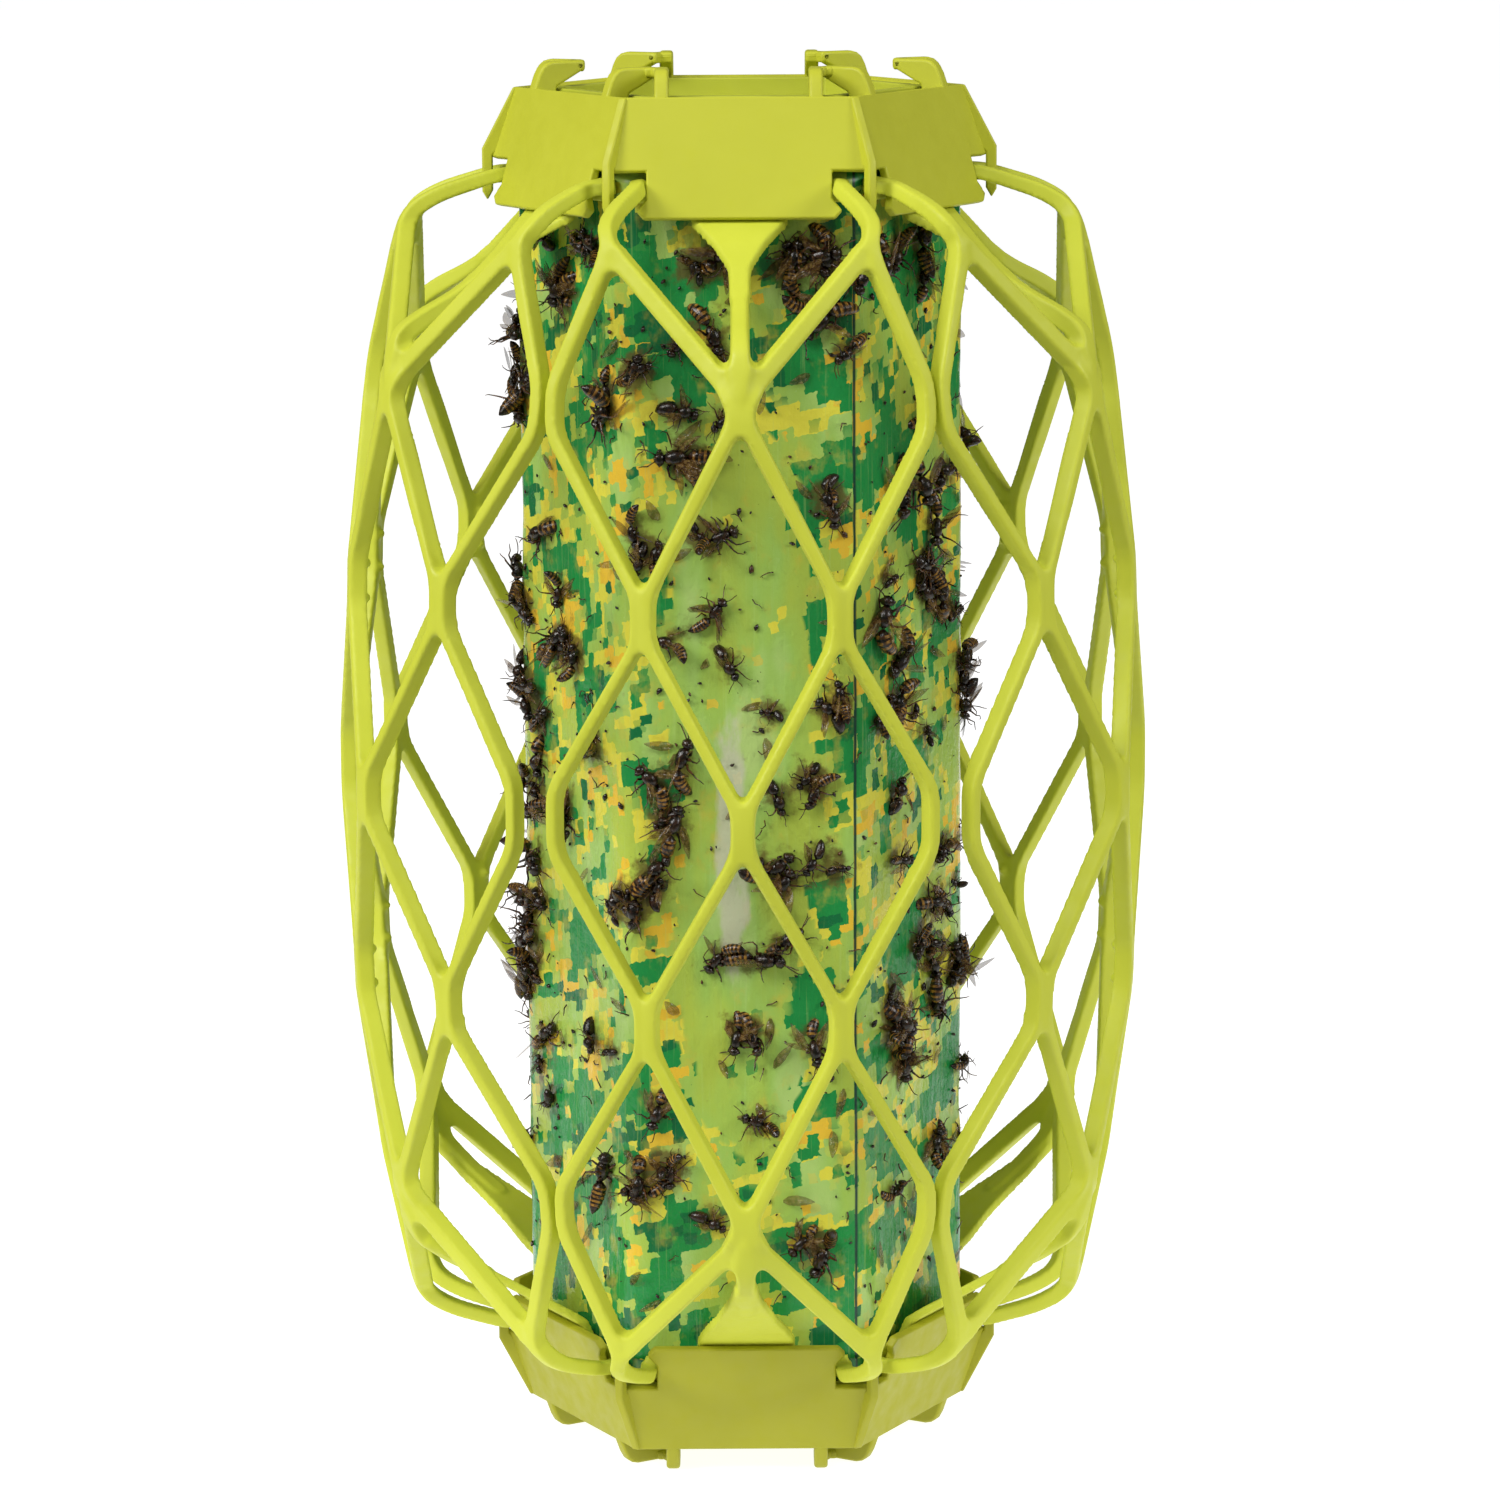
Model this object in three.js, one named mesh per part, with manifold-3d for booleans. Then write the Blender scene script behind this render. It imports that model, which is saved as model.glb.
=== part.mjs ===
/**
 * Pheromone insect trap.
 *
 * A six-sided sticky core stands inside a moulded bird guard. The guard is six separate lattice
 * panels, which bulge like a barrel and tuck their feet behind two flared collars. Each collar
 * has twelve claws that hook over the upstanding ring of the core's end cap. The top end cap
 * carries a folding wire bail, which the trap hangs by, and a vented cup for the lure.
 *
 * Millimetres, +Z up. Everything is built from mid-height, where the trap is the same up and
 * down, and the whole group is then lifted so that it stands on z = 0. A face looks along -Y:
 * "across" runs sideways over that face, "out" is the distance from the axis, and the six faces
 * are turned copies of it.
 */
import * as THREE from "three";
import { mergeVertices } from "three/addons/utils/BufferGeometryUtils.js";
import Module from "manifold-3d";

const wasm = await Module();
wasm.setup();

// ---------------------------------------------------------------- driving dimensions
const FACES = 6;
const FACE_TURN = (2 * Math.PI) / FACES;
const HALF_HEIGHT = 137.8; // mid-height to the flat ends of the claws
const CLEAR = 0.3; // kept between parts that touch

const RIM = { out: 38.1, z: 132.8 }; // the collar's narrow end
const SKIRT = { out: 44.8, z: 110.3 }; // the collar's flared end
const COLLAR_WALL = 1.75;
const NOTCH_TOP = 119.1; // the skirt is cut away at the corners below this
const TAB = { half: 17.5, barbHalf: 19.4, barbTop: 114, barbLow: 111.8, tipHalf: 18 };
const FIN = { thick: 1.8, out: 50.5, inner: 48.2, shoulder: 120.7, tip: 110.6 };
const CLAW = { across: 14.6, thick: 2.7, root: 33, tip: 26.8, lip: { near: 1.35, far: 3.4, deep: 2.2, thick: 2.1 } };

const CORE = { out: 37.5, wall: 2, round: 6, half: 118 };
const FILM = { inner: CORE.out + CLEAR, thick: 0.3, half: 118.5 };
const GLUE = { inner: FILM.inner + FILM.thick + CLEAR, thick: 0.3, half: 114 };

const CAP = { out: 38, low: 118.8, top: 120.4, ringOut: 32.2, ringIn: 30, ringTop: 132.5 };
const PLUG = { out: CORE.out - CORE.wall - CLEAR, thick: 2, low: 112 };

// A panel's struts, over its upper half: [across, out, z from mid-height, width, depth].
const EDGE_STRAND = [ // from the foot, out through the notch, over the shoulder and down the edge
  [19.2, 39.9, 115.9, 3.1, 2.7],
  [19.3, 44.6, 115.7, 3.1, 2.8],
  [23.2, 54.4, 111.3, 3.1, 3],
  [25.1, 59, 108.5, 3.1, 3.2],
  [24, 61.6, 105.2, 3.1, 3.5],
  [34.5, 62.8, 80.9, 2.8, 3.5],
  [34.8, 63.9, 72.3, 2.7, 3.5],
  [19.3, 75.4, 44.9, 2.5, 3.5],
  [19.3, 75.7, 33.8, 2.5, 3.5],
  [35.3, 70, 7, 2.5, 3.5],
];
const INNER_STRAND = [ // from the shoulder to the crown, out to the crossing and in to the middle
  [23.6, 61.8, 105, 3, 3.4],
  [1.35, 75.9, 80.4, 2.9, 3.4],
  [1.3, 76.9, 75, 2.7, 3.4],
  [17.3, 76.1, 44.7, 2.4, 3.4],
  [17.3, 76.4, 34, 2.4, 3.4],
  [1.05, 83.2, 5.2, 2.4, 3.4],
];
const STEM = [ // the strut from the crown up to the tongue
  [0, 76.6, 78.5, 3, 3.5],
  [0, 76, 82.5, 3, 3.5],
  [0, 73.5, 89.1, 3, 3.5],
  [0, 66.5, 95, 3, 3.1],
  [0, 60.3, 98, 3, 2.2],
];
const FOOT = { across: 15.5, out: 40, z: 114.9, width: 9, thick: 1.4, height: 4.2 };
const TONGUE_THICK = 1.7;
const TONGUES = { // a flat gusset that tucks behind the collar: its run as [out, z], and half-widths
  upper: {
    run: [[61, 98.6], [55, 102.2], [49, 105.7], [45.3, 107.5], [42.3, 109.3], [40.7, 112.8], [40.2, 116.2]],
    plan: [[1.5, 62], [1.8, 55.5], [3, 52.5], [5.3, 48.2], [9.2, 42], [9.3, 38]],
  },
  lower: {
    run: [[66.5, 94.6], [57, 99.9], [49, 105], [45.3, 107.2], [42.3, 109.3], [40.7, 112.8], [40.2, 116.2]],
    plan: [[1.6, 67], [2.3, 63], [4.3, 57], [6.6, 49], [8.8, 42.3], [9.3, 38]],
  },
};

const BAIL = { half: 16, wire: 2.4, reach: 24, z: 124.4, end: 20.6 };
const EAR = { near: 17.4, thick: 2.6, half: 3.4, bore: 3.1 };
const CUP = { flange: 13.6, out: 10.8, inner: 9.2, low: 96, floor: 1.6 };
const LID = { out: 12.8, skirtOut: 8.8, skirtIn: 7.6, low: 122.7, top: 124.3, skirtLow: 115.5 };
const LUG = { out: 10.4, low: 116.4, top: 118, halfAngle: 0.12, travel: Math.PI / 3 };
const SEPTUM = { radius: 6.2, low: 98, top: 111.5 };

// ---------------------------------------------------------------- colours
const finish = (color, roughness, metalness = 0) =>
  new THREE.MeshStandardMaterial({ color, roughness, metalness });
const LIME = finish(0xc9d04a, 0.42);
const LIME_SHADE = finish(0xb4bb42, 0.45);
const PRINT = finish(0x8fa33a, 0.5);
const GUM = finish(0xd8dc8c, 0.12);
const BOARD = finish(0xd9d5c4, 0.8);
const STEEL = finish(0xb9bcc0, 0.35, 1);
const RUBBER = finish(0x9c3b2e, 0.75);

// ---------------------------------------------------------------- solids
/** A closed geometry as a solid that can be joined and cut. */
function solid(geometry) {
  geometry.deleteAttribute("normal");
  geometry.deleteAttribute("uv");
  const merged = mergeVertices(geometry, 1e-4);
  return new wasm.Manifold(new wasm.Mesh({
    numProp: 3,
    vertProperties: new Float32Array(merged.attributes.position.array),
    triVerts: new Uint32Array(merged.index.array),
  }));
}

function joined(pieces) {
  return pieces.reduce((whole, piece) => whole.add(piece));
}

function geometryOf(body) {
  const mesh = body.getMesh();
  const geometry = new THREE.BufferGeometry();
  geometry.setAttribute("position", new THREE.BufferAttribute(mesh.vertProperties, 3));
  geometry.setIndex(new THREE.BufferAttribute(mesh.triVerts, 1));
  geometry.computeVertexNormals();
  return geometry;
}

/** The same solid on every face. */
function aroundFaces(makeGeometry, start = 0) {
  const copies = [];
  for (let face = 0; face < FACES; face += 1) {
    copies.push(solid(makeGeometry().rotateZ(start + face * FACE_TURN)));
  }
  return joined(copies);
}

const place = ([across, out, z]) => new THREE.Vector3(across, -out, z);

function outline(points) {
  return new THREE.Shape(points.map(([x, y]) => new THREE.Vector2(x, y)));
}

/** An outline in (across, z), pushed outwards from one distance to another. */
function facePrism(shape, from, to) {
  return new THREE.ExtrudeGeometry(shape, { depth: to - from, bevelEnabled: false })
    .rotateX(Math.PI / 2)
    .translate(0, -from, 0);
}

/** An outline in (out, z), as a plate of the given thickness across the face. */
function sidePrism(shape, thick, across = 0) {
  const turn = new THREE.Matrix4().makeBasis(
    new THREE.Vector3(0, -1, 0),
    new THREE.Vector3(0, 0, 1),
    new THREE.Vector3(-1, 0, 0),
  );
  return new THREE.ExtrudeGeometry(shape, { depth: thick, bevelEnabled: false, curveSegments: 4 })
    .applyMatrix4(turn)
    .translate(across + thick / 2, 0, 0);
}

/** A six-sided ring from a closed profile of [apothem, z], a flat side facing -Y. */
function hexRing(profile) {
  const corner = 1 / Math.cos(FACE_TURN / 2);
  const points = profile.map(([apothem, z]) => new THREE.Vector2(apothem * corner, z));
  points.push(points[0].clone());
  return new THREE.LatheGeometry(points, FACES).rotateX(Math.PI / 2).rotateZ(FACE_TURN / 2);
}

/** A round ring or disc from a profile of [radius, z]. */
function turned(profile, segments = 24) {
  const points = profile.map(([radius, z]) => new THREE.Vector2(radius, z));
  return new THREE.LatheGeometry(points, segments).rotateX(Math.PI / 2);
}

/** A hexagon with rounded corners, a flat side facing -Y. */
function roundedHexagon(apothem, round, PathClass = THREE.Shape) {
  const path = new PathClass();
  const centre = (apothem - round) / Math.cos(FACE_TURN / 2);
  for (let corner = 0; corner < FACES; corner += 1) {
    const angle = corner * FACE_TURN;
    const x = centre * Math.cos(angle);
    const y = centre * Math.sin(angle);
    path.absarc(x, y, round, angle - FACE_TURN / 2, angle + FACE_TURN / 2, false);
  }
  return path;
}

/** A rounded six-sided tube between two heights. */
function hexTube(out, wall, round, low, high) {
  const shape = roundedHexagon(out, round);
  shape.holes.push(roundedHexagon(out - wall, round - wall, THREE.Path));
  return new THREE.ExtrudeGeometry(shape, { depth: high - low, bevelEnabled: false, curveSegments: 3 })
    .translate(0, 0, low);
}

/**
 * A run of struts through a list of corners, each [across, out, z, width, depth]. The section keeps
 * one face away from the trap's axis, and turns to face up or down where an arm runs inwards.
 */
class StrutRun extends THREE.Curve {
  constructor(corners) {
    super();
    this.points = corners.map(place);
    this.widths = corners.map((corner) => corner[3]);
    this.depths = corners.map((corner) => corner[4]);
  }

  getSpacedPoints() {
    return this.points;
  }

  computeFrenetFrames() {
    const last = this.points.length - 1;
    const tangents = [];
    const normals = [];
    const binormals = [];
    this.points.forEach((point, i) => {
      const before = point.clone().sub(this.points[Math.max(i - 1, 0)]).normalize();
      const after = this.points[Math.min(i + 1, last)].clone().sub(point).normalize();
      const along = before.clone().add(after).normalize();
      const mitre = i > 0 && i < last ? 1 / along.dot(after) : 1;
      const away = new THREE.Vector3(point.x, point.y, 0).normalize();
      away.z = Math.sign(point.z) * Math.max(0, (Math.abs(point.z) - 100) / 8);
      away.addScaledVector(along, -away.dot(along)).normalize();
      tangents.push(along);
      normals.push(away.clone().cross(along).multiplyScalar(this.widths[i] * mitre));
      binormals.push(away.multiplyScalar(this.depths[i]));
    });
    return { tangents, normals, binormals };
  }
}

/** A strut's cross-section at unit size: narrower outside than inside. */
const STRUT_SECTION = outline([
  [-0.5, -0.5],
  [0.5, -0.5],
  [0.36, 0.5],
  [-0.36, 0.5],
]);

function struts(corners) {
  return new THREE.ExtrudeGeometry(STRUT_SECTION, {
    extrudePath: new StrutRun(corners),
    steps: corners.length - 1,
    bevelEnabled: false,
  });
}

/** The closed outline of a ribbon of the given thickness along a path of [x, y] points. */
function ribbon(points, thick) {
  const path = points.map(([x, y]) => new THREE.Vector2(x, y));
  const side = (sign) => path.map((point, i) => {
    const before = path[Math.max(i - 1, 0)];
    const after = path[Math.min(i + 1, path.length - 1)];
    const along = after.clone().sub(before).normalize();
    return [point.x - sign * along.y * (thick / 2), point.y + sign * along.x * (thick / 2)];
  });
  return outline([...side(1), ...side(-1).reverse()]);
}

// ---------------------------------------------------------------- collar
const collarOut = (z) => RIM.out + ((RIM.z - z) * (SKIRT.out - RIM.out)) / (RIM.z - SKIRT.z);

function collarRing(low) {
  const across = COLLAR_WALL * Math.hypot(1, (SKIRT.out - RIM.out) / (RIM.z - SKIRT.z));
  return hexRing([
    [collarOut(low), low],
    [RIM.out, RIM.z],
    [RIM.out - across, RIM.z],
    [collarOut(low) - across, low],
  ]);
}

/** The front view of one tab, with the barbs on its lower corners. */
function tabOutline() {
  const right = [
    [TAB.half, NOTCH_TOP + 1],
    [TAB.half, TAB.barbTop],
    [TAB.barbHalf, TAB.barbLow],
    [TAB.tipHalf, SKIRT.z],
  ];
  const left = right.map(([across, z]) => [-across, z]).reverse();
  return outline([...right, ...left]);
}

/** The radial plate at a corner, ending in a free-hanging pointed finger. */
function finOutline() {
  return outline([
    [43, RIM.z - 0.3],
    [44, RIM.z],
    [FIN.out, FIN.shoulder],
    [FIN.out, FIN.tip + 1.6],
    [FIN.out - 1, FIN.tip],
    [FIN.inner, FIN.tip + 1.8],
    [FIN.inner, NOTCH_TOP + 0.2],
    [47.5, NOTCH_TOP + 1],
  ].reverse());
}

/** One claw seen from the side: up on the plate's slope, over the cap's ring and inwards. */
function clawOutline() {
  const shape = new THREE.Shape();
  shape.moveTo(38.9, 127.6);
  shape.lineTo(38.2, RIM.z - 0.6);
  shape.lineTo(37.1, HALF_HEIGHT - 2.6);
  shape.quadraticCurveTo(36.2, HALF_HEIGHT, 34, HALF_HEIGHT);
  shape.lineTo(CLAW.tip, HALF_HEIGHT);
  shape.lineTo(CLAW.tip, HALF_HEIGHT - CLAW.lip.thick);
  shape.lineTo(31, HALF_HEIGHT - 3.9);
  shape.lineTo(CLAW.root, RIM.z);
  shape.lineTo(CLAW.root + 0.5, 130.6);
  return shape;
}

/** The lip along a claw's end, which reaches further towards the corner than towards the middle. */
function clawLip(hand) {
  const { near, far, deep, thick } = CLAW.lip;
  return new THREE.BoxGeometry(near + far, deep, thick).translate(
    hand * (CLAW.across + (far - near) / 2),
    -(CLAW.tip + deep / 2),
    HALF_HEIGHT - thick / 2,
  );
}

function collar() {
  const tabs = aroundFaces(() => facePrism(tabOutline(), 34, 52)).intersect(solid(collarRing(SKIRT.z)));
  const parts = [
    solid(collarRing(NOTCH_TOP)),
    tabs,
    aroundFaces(() => sidePrism(finOutline(), FIN.thick), FACE_TURN / 2),
  ];
  for (const hand of [-1, 1]) {
    parts.push(aroundFaces(() => sidePrism(clawOutline(), CLAW.thick, hand * CLAW.across)));
    parts.push(aroundFaces(() => clawLip(hand)));
  }
  return geometryOf(joined(parts));
}

// ---------------------------------------------------------------- guard panel
/** The tongue in the middle: a flat gusset that tucks behind the collar's plate. */
function tongue({ run, plan }) {
  const widest = Math.max(...plan.map(([half]) => half));
  const ribbonShape = ribbon(run, TONGUE_THICK);
  const left = plan.map(([half, out]) => [-half, -out]);
  const right = plan.map(([half, out]) => [half, -out]).reverse();
  const slab = new THREE.ExtrudeGeometry(outline([...left, ...right]), { depth: 50, bevelEnabled: false })
    .translate(0, 0, 75);
  return solid(sidePrism(ribbonShape, 2 * widest + 1)).intersect(solid(slab));
}

/** The strand on one hand (-1 or 1), from its top end to its bottom end. */
function wholeStrand(strand, hand) {
  const half = (flip) => strand.map(([across, out, z, ...section]) => [hand * across, out, flip * z, ...section]);
  return struts([...half(1), ...half(-1).reverse()]);
}

function guardPanel() {
  const turnOver = new THREE.Matrix4().makeRotationY(Math.PI);
  const stem = solid(struts(STEM));
  const upper = tongue(TONGUES.upper).add(stem);
  const lower = tongue(TONGUES.lower).add(stem).transform(turnOver.elements);
  const parts = [upper, lower];
  for (const hand of [1, -1]) {
    parts.push(solid(wholeStrand(EDGE_STRAND, hand)), solid(wholeStrand(INNER_STRAND, hand)));
    for (const flip of [1, -1]) {
      parts.push(solid(new THREE.BoxGeometry(FOOT.width, FOOT.thick, FOOT.height)
        .translate(hand * FOOT.across, -FOOT.out, flip * FOOT.z)));
    }
  }
  return geometryOf(joined(parts));
}

// ---------------------------------------------------------------- end caps
/** The disc that closes the core, with the ring that the claws hook over and a plug below. */
function capBody(holeRadius) {
  const disc = new THREE.ExtrudeGeometry(roundedHexagon(CAP.out, CORE.round), {
    depth: CAP.top - CAP.low,
    bevelEnabled: false,
    curveSegments: 3,
  }).translate(0, 0, CAP.low);
  const overlap = 0.5;
  const ring = hexRing([
    [CAP.ringOut, CAP.top - overlap],
    [CAP.ringOut, CAP.ringTop],
    [CAP.ringIn, CAP.ringTop],
    [CAP.ringIn, CAP.top - overlap],
  ]);
  const plug = hexTube(PLUG.out, PLUG.thick, CORE.round - CORE.wall, PLUG.low, CAP.low + overlap);
  const hole = new THREE.CylinderGeometry(holeRadius, holeRadius, 6, 24)
    .rotateX(Math.PI / 2)
    .translate(0, 0, CAP.low);
  return joined([disc, ring, plug].map(solid)).subtract(solid(hole));
}

/** The two ears on the top cap that hold the ends of the bail. */
function ears() {
  const height = BAIL.z + EAR.half - CAP.top;
  const parts = [];
  for (const hand of [-1, 1]) {
    const x = hand * (EAR.near + EAR.thick / 2);
    const post = new THREE.BoxGeometry(EAR.thick, 2 * EAR.half, height - EAR.half + 0.5)
      .translate(x, 0, CAP.top + (height - EAR.half - 0.5) / 2);
    const crown = new THREE.CylinderGeometry(EAR.half, EAR.half, EAR.thick, 16)
      .rotateZ(Math.PI / 2)
      .translate(x, 0, BAIL.z);
    const bore = new THREE.CylinderGeometry(EAR.bore / 2, EAR.bore / 2, 3 * EAR.thick, 16)
      .rotateZ(Math.PI / 2)
      .translate(x, 0, BAIL.z);
    parts.push(solid(post).add(solid(crown)).subtract(solid(bore)));
  }
  return parts;
}

function topEndCap() {
  return geometryOf(joined([capBody(CUP.out + CLEAR), ...ears()]));
}

function bottomEndCap() {
  return geometryOf(capBody(6));
}

// ---------------------------------------------------------------- bail
/** A wire loop whose two ends turn outwards into the ears. Folded flat, it points along -Y. */
function hangerBail() {
  const section = new THREE.Shape().absarc(0, 0, BAIL.wire / 2, 0, 2 * Math.PI, false);
  const bend = 2.2;
  const bow = BAIL.reach - BAIL.half;
  const right = [
    [BAIL.end, 0],
    [BAIL.half + bend, 0],
    [BAIL.half + 0.3 * bend, -0.3 * bend],
    [BAIL.half, -bend],
    [BAIL.half, -bow],
  ];
  for (let step = 1; step < 6; step += 1) {
    const angle = (step * Math.PI) / 12;
    right.push([BAIL.half * Math.cos(angle), -bow - BAIL.half * Math.sin(angle)]);
  }
  const left = right.map(([x, y]) => [-x, y]).reverse();
  const loop = [...right, [0, -BAIL.reach], ...left];
  const points = loop.map(([x, y]) => new THREE.Vector3(x, y, BAIL.z));
  return new THREE.ExtrudeGeometry(section, {
    extrudePath: new THREE.CatmullRomCurve3(points, false, "centripetal"),
    steps: 40,
    curveSegments: 3,
    bevelEnabled: false,
  });
}

// ---------------------------------------------------------------- lure
/** A sector of a ring, for a lug or a slot. */
function sector(inner, outer, from, to, low, high) {
  const shape = new THREE.Shape();
  shape.absarc(0, 0, outer, from, to, false);
  shape.absarc(0, 0, inner, to, from, true);
  return new THREE.ExtrudeGeometry(shape, { depth: high - low, bevelEnabled: false, curveSegments: 6 })
    .translate(0, 0, low);
}

/** A vented cup that hangs in the cap's hole. Two slots take the lid's lugs. */
function lureCup() {
  const flangeLow = CAP.top + CLEAR;
  const body = turned([
    [0, CUP.low],
    [CUP.out, CUP.low],
    [CUP.out, flangeLow],
    [CUP.flange, flangeLow],
    [CUP.flange, flangeLow + 1.6],
    [CUP.inner, flangeLow + 1.6],
    [CUP.inner, CUP.low + CUP.floor],
    [0, CUP.low + CUP.floor],
  ]);
  const cuts = [];
  for (const start of [0, Math.PI]) {
    const margin = LUG.halfAngle + 0.05;
    cuts.push(sector(CUP.inner - 0.4, CUP.out + 1, start - margin, start + LUG.travel + margin,
      LUG.low - CLEAR, LUG.top + CLEAR));
  }
  for (let vent = 0; vent < 4; vent += 1) {
    const turn = Math.PI / 4 + (vent * Math.PI) / 2;
    cuts.push(sector(CUP.inner - 1, CUP.out + 1, turn - 0.28, turn + 0.28, 100, 110));
  }
  return geometryOf(cuts.reduce((whole, cut) => whole.subtract(solid(cut)), solid(body)));
}

/** The lid: a vented disc with a finger bar, whose two lugs run in the cup's slots. */
function lureLid() {
  const body = turned([
    [0, LID.low],
    [LID.skirtIn, LID.low],
    [LID.skirtIn, LID.skirtLow],
    [LID.skirtOut, LID.skirtLow],
    [LID.skirtOut, LID.low],
    [LID.out, LID.low],
    [LID.out, LID.top],
    [0, LID.top],
  ]);
  const bar = new THREE.BoxGeometry(2.4, 17, 3.6).translate(0, 0, LID.top + 1.6);
  const parts = [solid(body), solid(bar)];
  for (const turn of [0, Math.PI]) {
    parts.push(solid(sector(LID.skirtOut - 0.5, LUG.out, turn - LUG.halfAngle, turn + LUG.halfAngle,
      LUG.low, LUG.top)));
  }
  let lid = joined(parts);
  for (const [x, y] of [[4.6, 0], [-4.6, 0]]) {
    const vent = new THREE.CylinderGeometry(1.6, 1.6, 6, 12).rotateX(Math.PI / 2).translate(x, y, LID.top);
    lid = lid.subtract(solid(vent));
  }
  return geometryOf(lid);
}

/** The rubber septum that carries the pheromone: a plug with a waist and a cupped top. */
function lureSeptum() {
  const { radius, low, top } = SEPTUM;
  return turned([
    [0, low],
    [radius - 1, low],
    [radius - 0.4, low + 5],
    [radius, low + 6],
    [radius, top],
    [radius - 2, top],
    [radius - 3, top - 4],
    [0, top - 4],
  ]);
}

// ---------------------------------------------------------------- assembly
const trap = new THREE.Group();
trap.position.z = HALF_HEIGHT;

function addPart(name, geometry, material) {
  const mesh = new THREE.Mesh(geometry, material);
  mesh.name = name;
  trap.add(mesh);
  return mesh;
}

addPart("core_tube", hexTube(CORE.out, CORE.wall, CORE.round, -CORE.half, CORE.half), BOARD);
addPart("printed_film", hexTube(FILM.inner + FILM.thick, FILM.thick, CORE.round + 0.6,
  -FILM.half, FILM.half), PRINT);
addPart("sticky_coating", hexTube(GLUE.inner + GLUE.thick, GLUE.thick, CORE.round + 1.2,
  -GLUE.half, GLUE.half), GUM);
addPart("top_end_cap", topEndCap(), LIME_SHADE);
addPart("bottom_end_cap", bottomEndCap(), LIME_SHADE).rotation.x = Math.PI;
addPart("top_collar", collar(), LIME);
addPart("bottom_collar", collar(), LIME).rotation.x = Math.PI;
for (let face = 0; face < FACES; face += 1) {
  addPart(`guard_panel_${face + 1}`, guardPanel(), LIME).rotation.z = face * FACE_TURN;
}
addPart("hanger_bail", hangerBail(), STEEL);
addPart("lure_cup", lureCup(), LIME_SHADE);
addPart("lure_lid", lureLid(), LIME_SHADE);
addPart("lure_septum", lureSeptum(), RUBBER);

export default trap;
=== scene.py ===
"""Pheromone insect trap: a sticky six-sided core in a lime lattice bird guard.

Lengths in this file are millimetres, measured from the trap's mid-height, and are turned into
metres when a mesh is made. Over one face, "across" runs sideways, "out" is the distance from the
axis and z is up; the six faces are turned copies of the one that looks along -Y.
"""
import math
import random

import bmesh
import bpy
import numpy as np
import openvdb
from mathutils import Matrix, Vector, noise


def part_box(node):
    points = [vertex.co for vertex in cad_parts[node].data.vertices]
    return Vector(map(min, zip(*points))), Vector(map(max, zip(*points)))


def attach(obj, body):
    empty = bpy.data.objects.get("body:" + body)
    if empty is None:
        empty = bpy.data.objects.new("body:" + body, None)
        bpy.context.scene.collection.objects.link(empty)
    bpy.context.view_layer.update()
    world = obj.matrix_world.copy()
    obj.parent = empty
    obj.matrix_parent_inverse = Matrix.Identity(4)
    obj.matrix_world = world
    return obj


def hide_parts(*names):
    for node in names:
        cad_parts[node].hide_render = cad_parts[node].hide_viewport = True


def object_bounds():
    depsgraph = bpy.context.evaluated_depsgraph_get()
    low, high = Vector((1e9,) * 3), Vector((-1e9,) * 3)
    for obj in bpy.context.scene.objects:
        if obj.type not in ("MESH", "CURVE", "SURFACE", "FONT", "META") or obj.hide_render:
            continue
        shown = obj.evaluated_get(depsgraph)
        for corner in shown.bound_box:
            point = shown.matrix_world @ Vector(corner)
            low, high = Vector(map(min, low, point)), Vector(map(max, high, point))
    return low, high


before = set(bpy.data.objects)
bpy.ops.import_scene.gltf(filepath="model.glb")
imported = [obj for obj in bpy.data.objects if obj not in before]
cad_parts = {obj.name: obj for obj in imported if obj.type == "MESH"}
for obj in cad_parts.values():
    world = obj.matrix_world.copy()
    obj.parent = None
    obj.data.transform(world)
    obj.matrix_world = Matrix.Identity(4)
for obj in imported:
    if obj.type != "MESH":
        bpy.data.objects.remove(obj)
cad_low, cad_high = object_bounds()

MM = 0.001
FACES = 6
TURN = 2 * math.pi / FACES
MID = Vector((0, 0, (cad_high.z + cad_low.z) / 2))
rng = random.Random(20260)


def millimetres(node):
    """A CAD node's box, in this file's millimetres from mid-height."""
    low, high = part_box(node)
    return (low - MID) / MM, (high - MID) / MM


def new_object(name, data):
    thing = bpy.data.objects.new(name, data)
    bpy.context.scene.collection.objects.link(thing)
    return thing


# ------------------------------------------------------------------ camera, light and floor
CAMERA = {"distance": 1080, "pitch": 10.3, "roll": -0.34, "fov": 15.8, "aim": (1.4, 0, 0.6)}
SKY = {"towards": (-0.10, -0.62, 0.78), "from": -0.6, "to": 0.95, "dim": 0.10, "bright": 0.28}
LAMPS = [  # name, place in metres from the middle of the trap, size, watts, colour
    ("left_box", (-1.40, -0.95, 1.00), 0.8, 22.5, (1.0, 0.99, 0.97)),
    ("front_box", (-0.60, -1.25, 1.45), 0.6, 12.5, (1.0, 1.0, 1.0)),
    ("right_box", (1.60, -0.75, 0.85), 0.8, 15, (1.0, 1.0, 1.0)),
]
# the floor, in metres: the part that glows, which is painted light, starts in front of the trap's
# foot and widens behind it
FLOOR = {"radius": 9, "starts": (-0.26, -0.066), "half": (0.17, 0.75), "widens": 0.16,
         "dim": (0.13, 0.13, 0.13), "pale": (0.42, 0.42, 0.42), "glow": 0.90}


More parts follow.
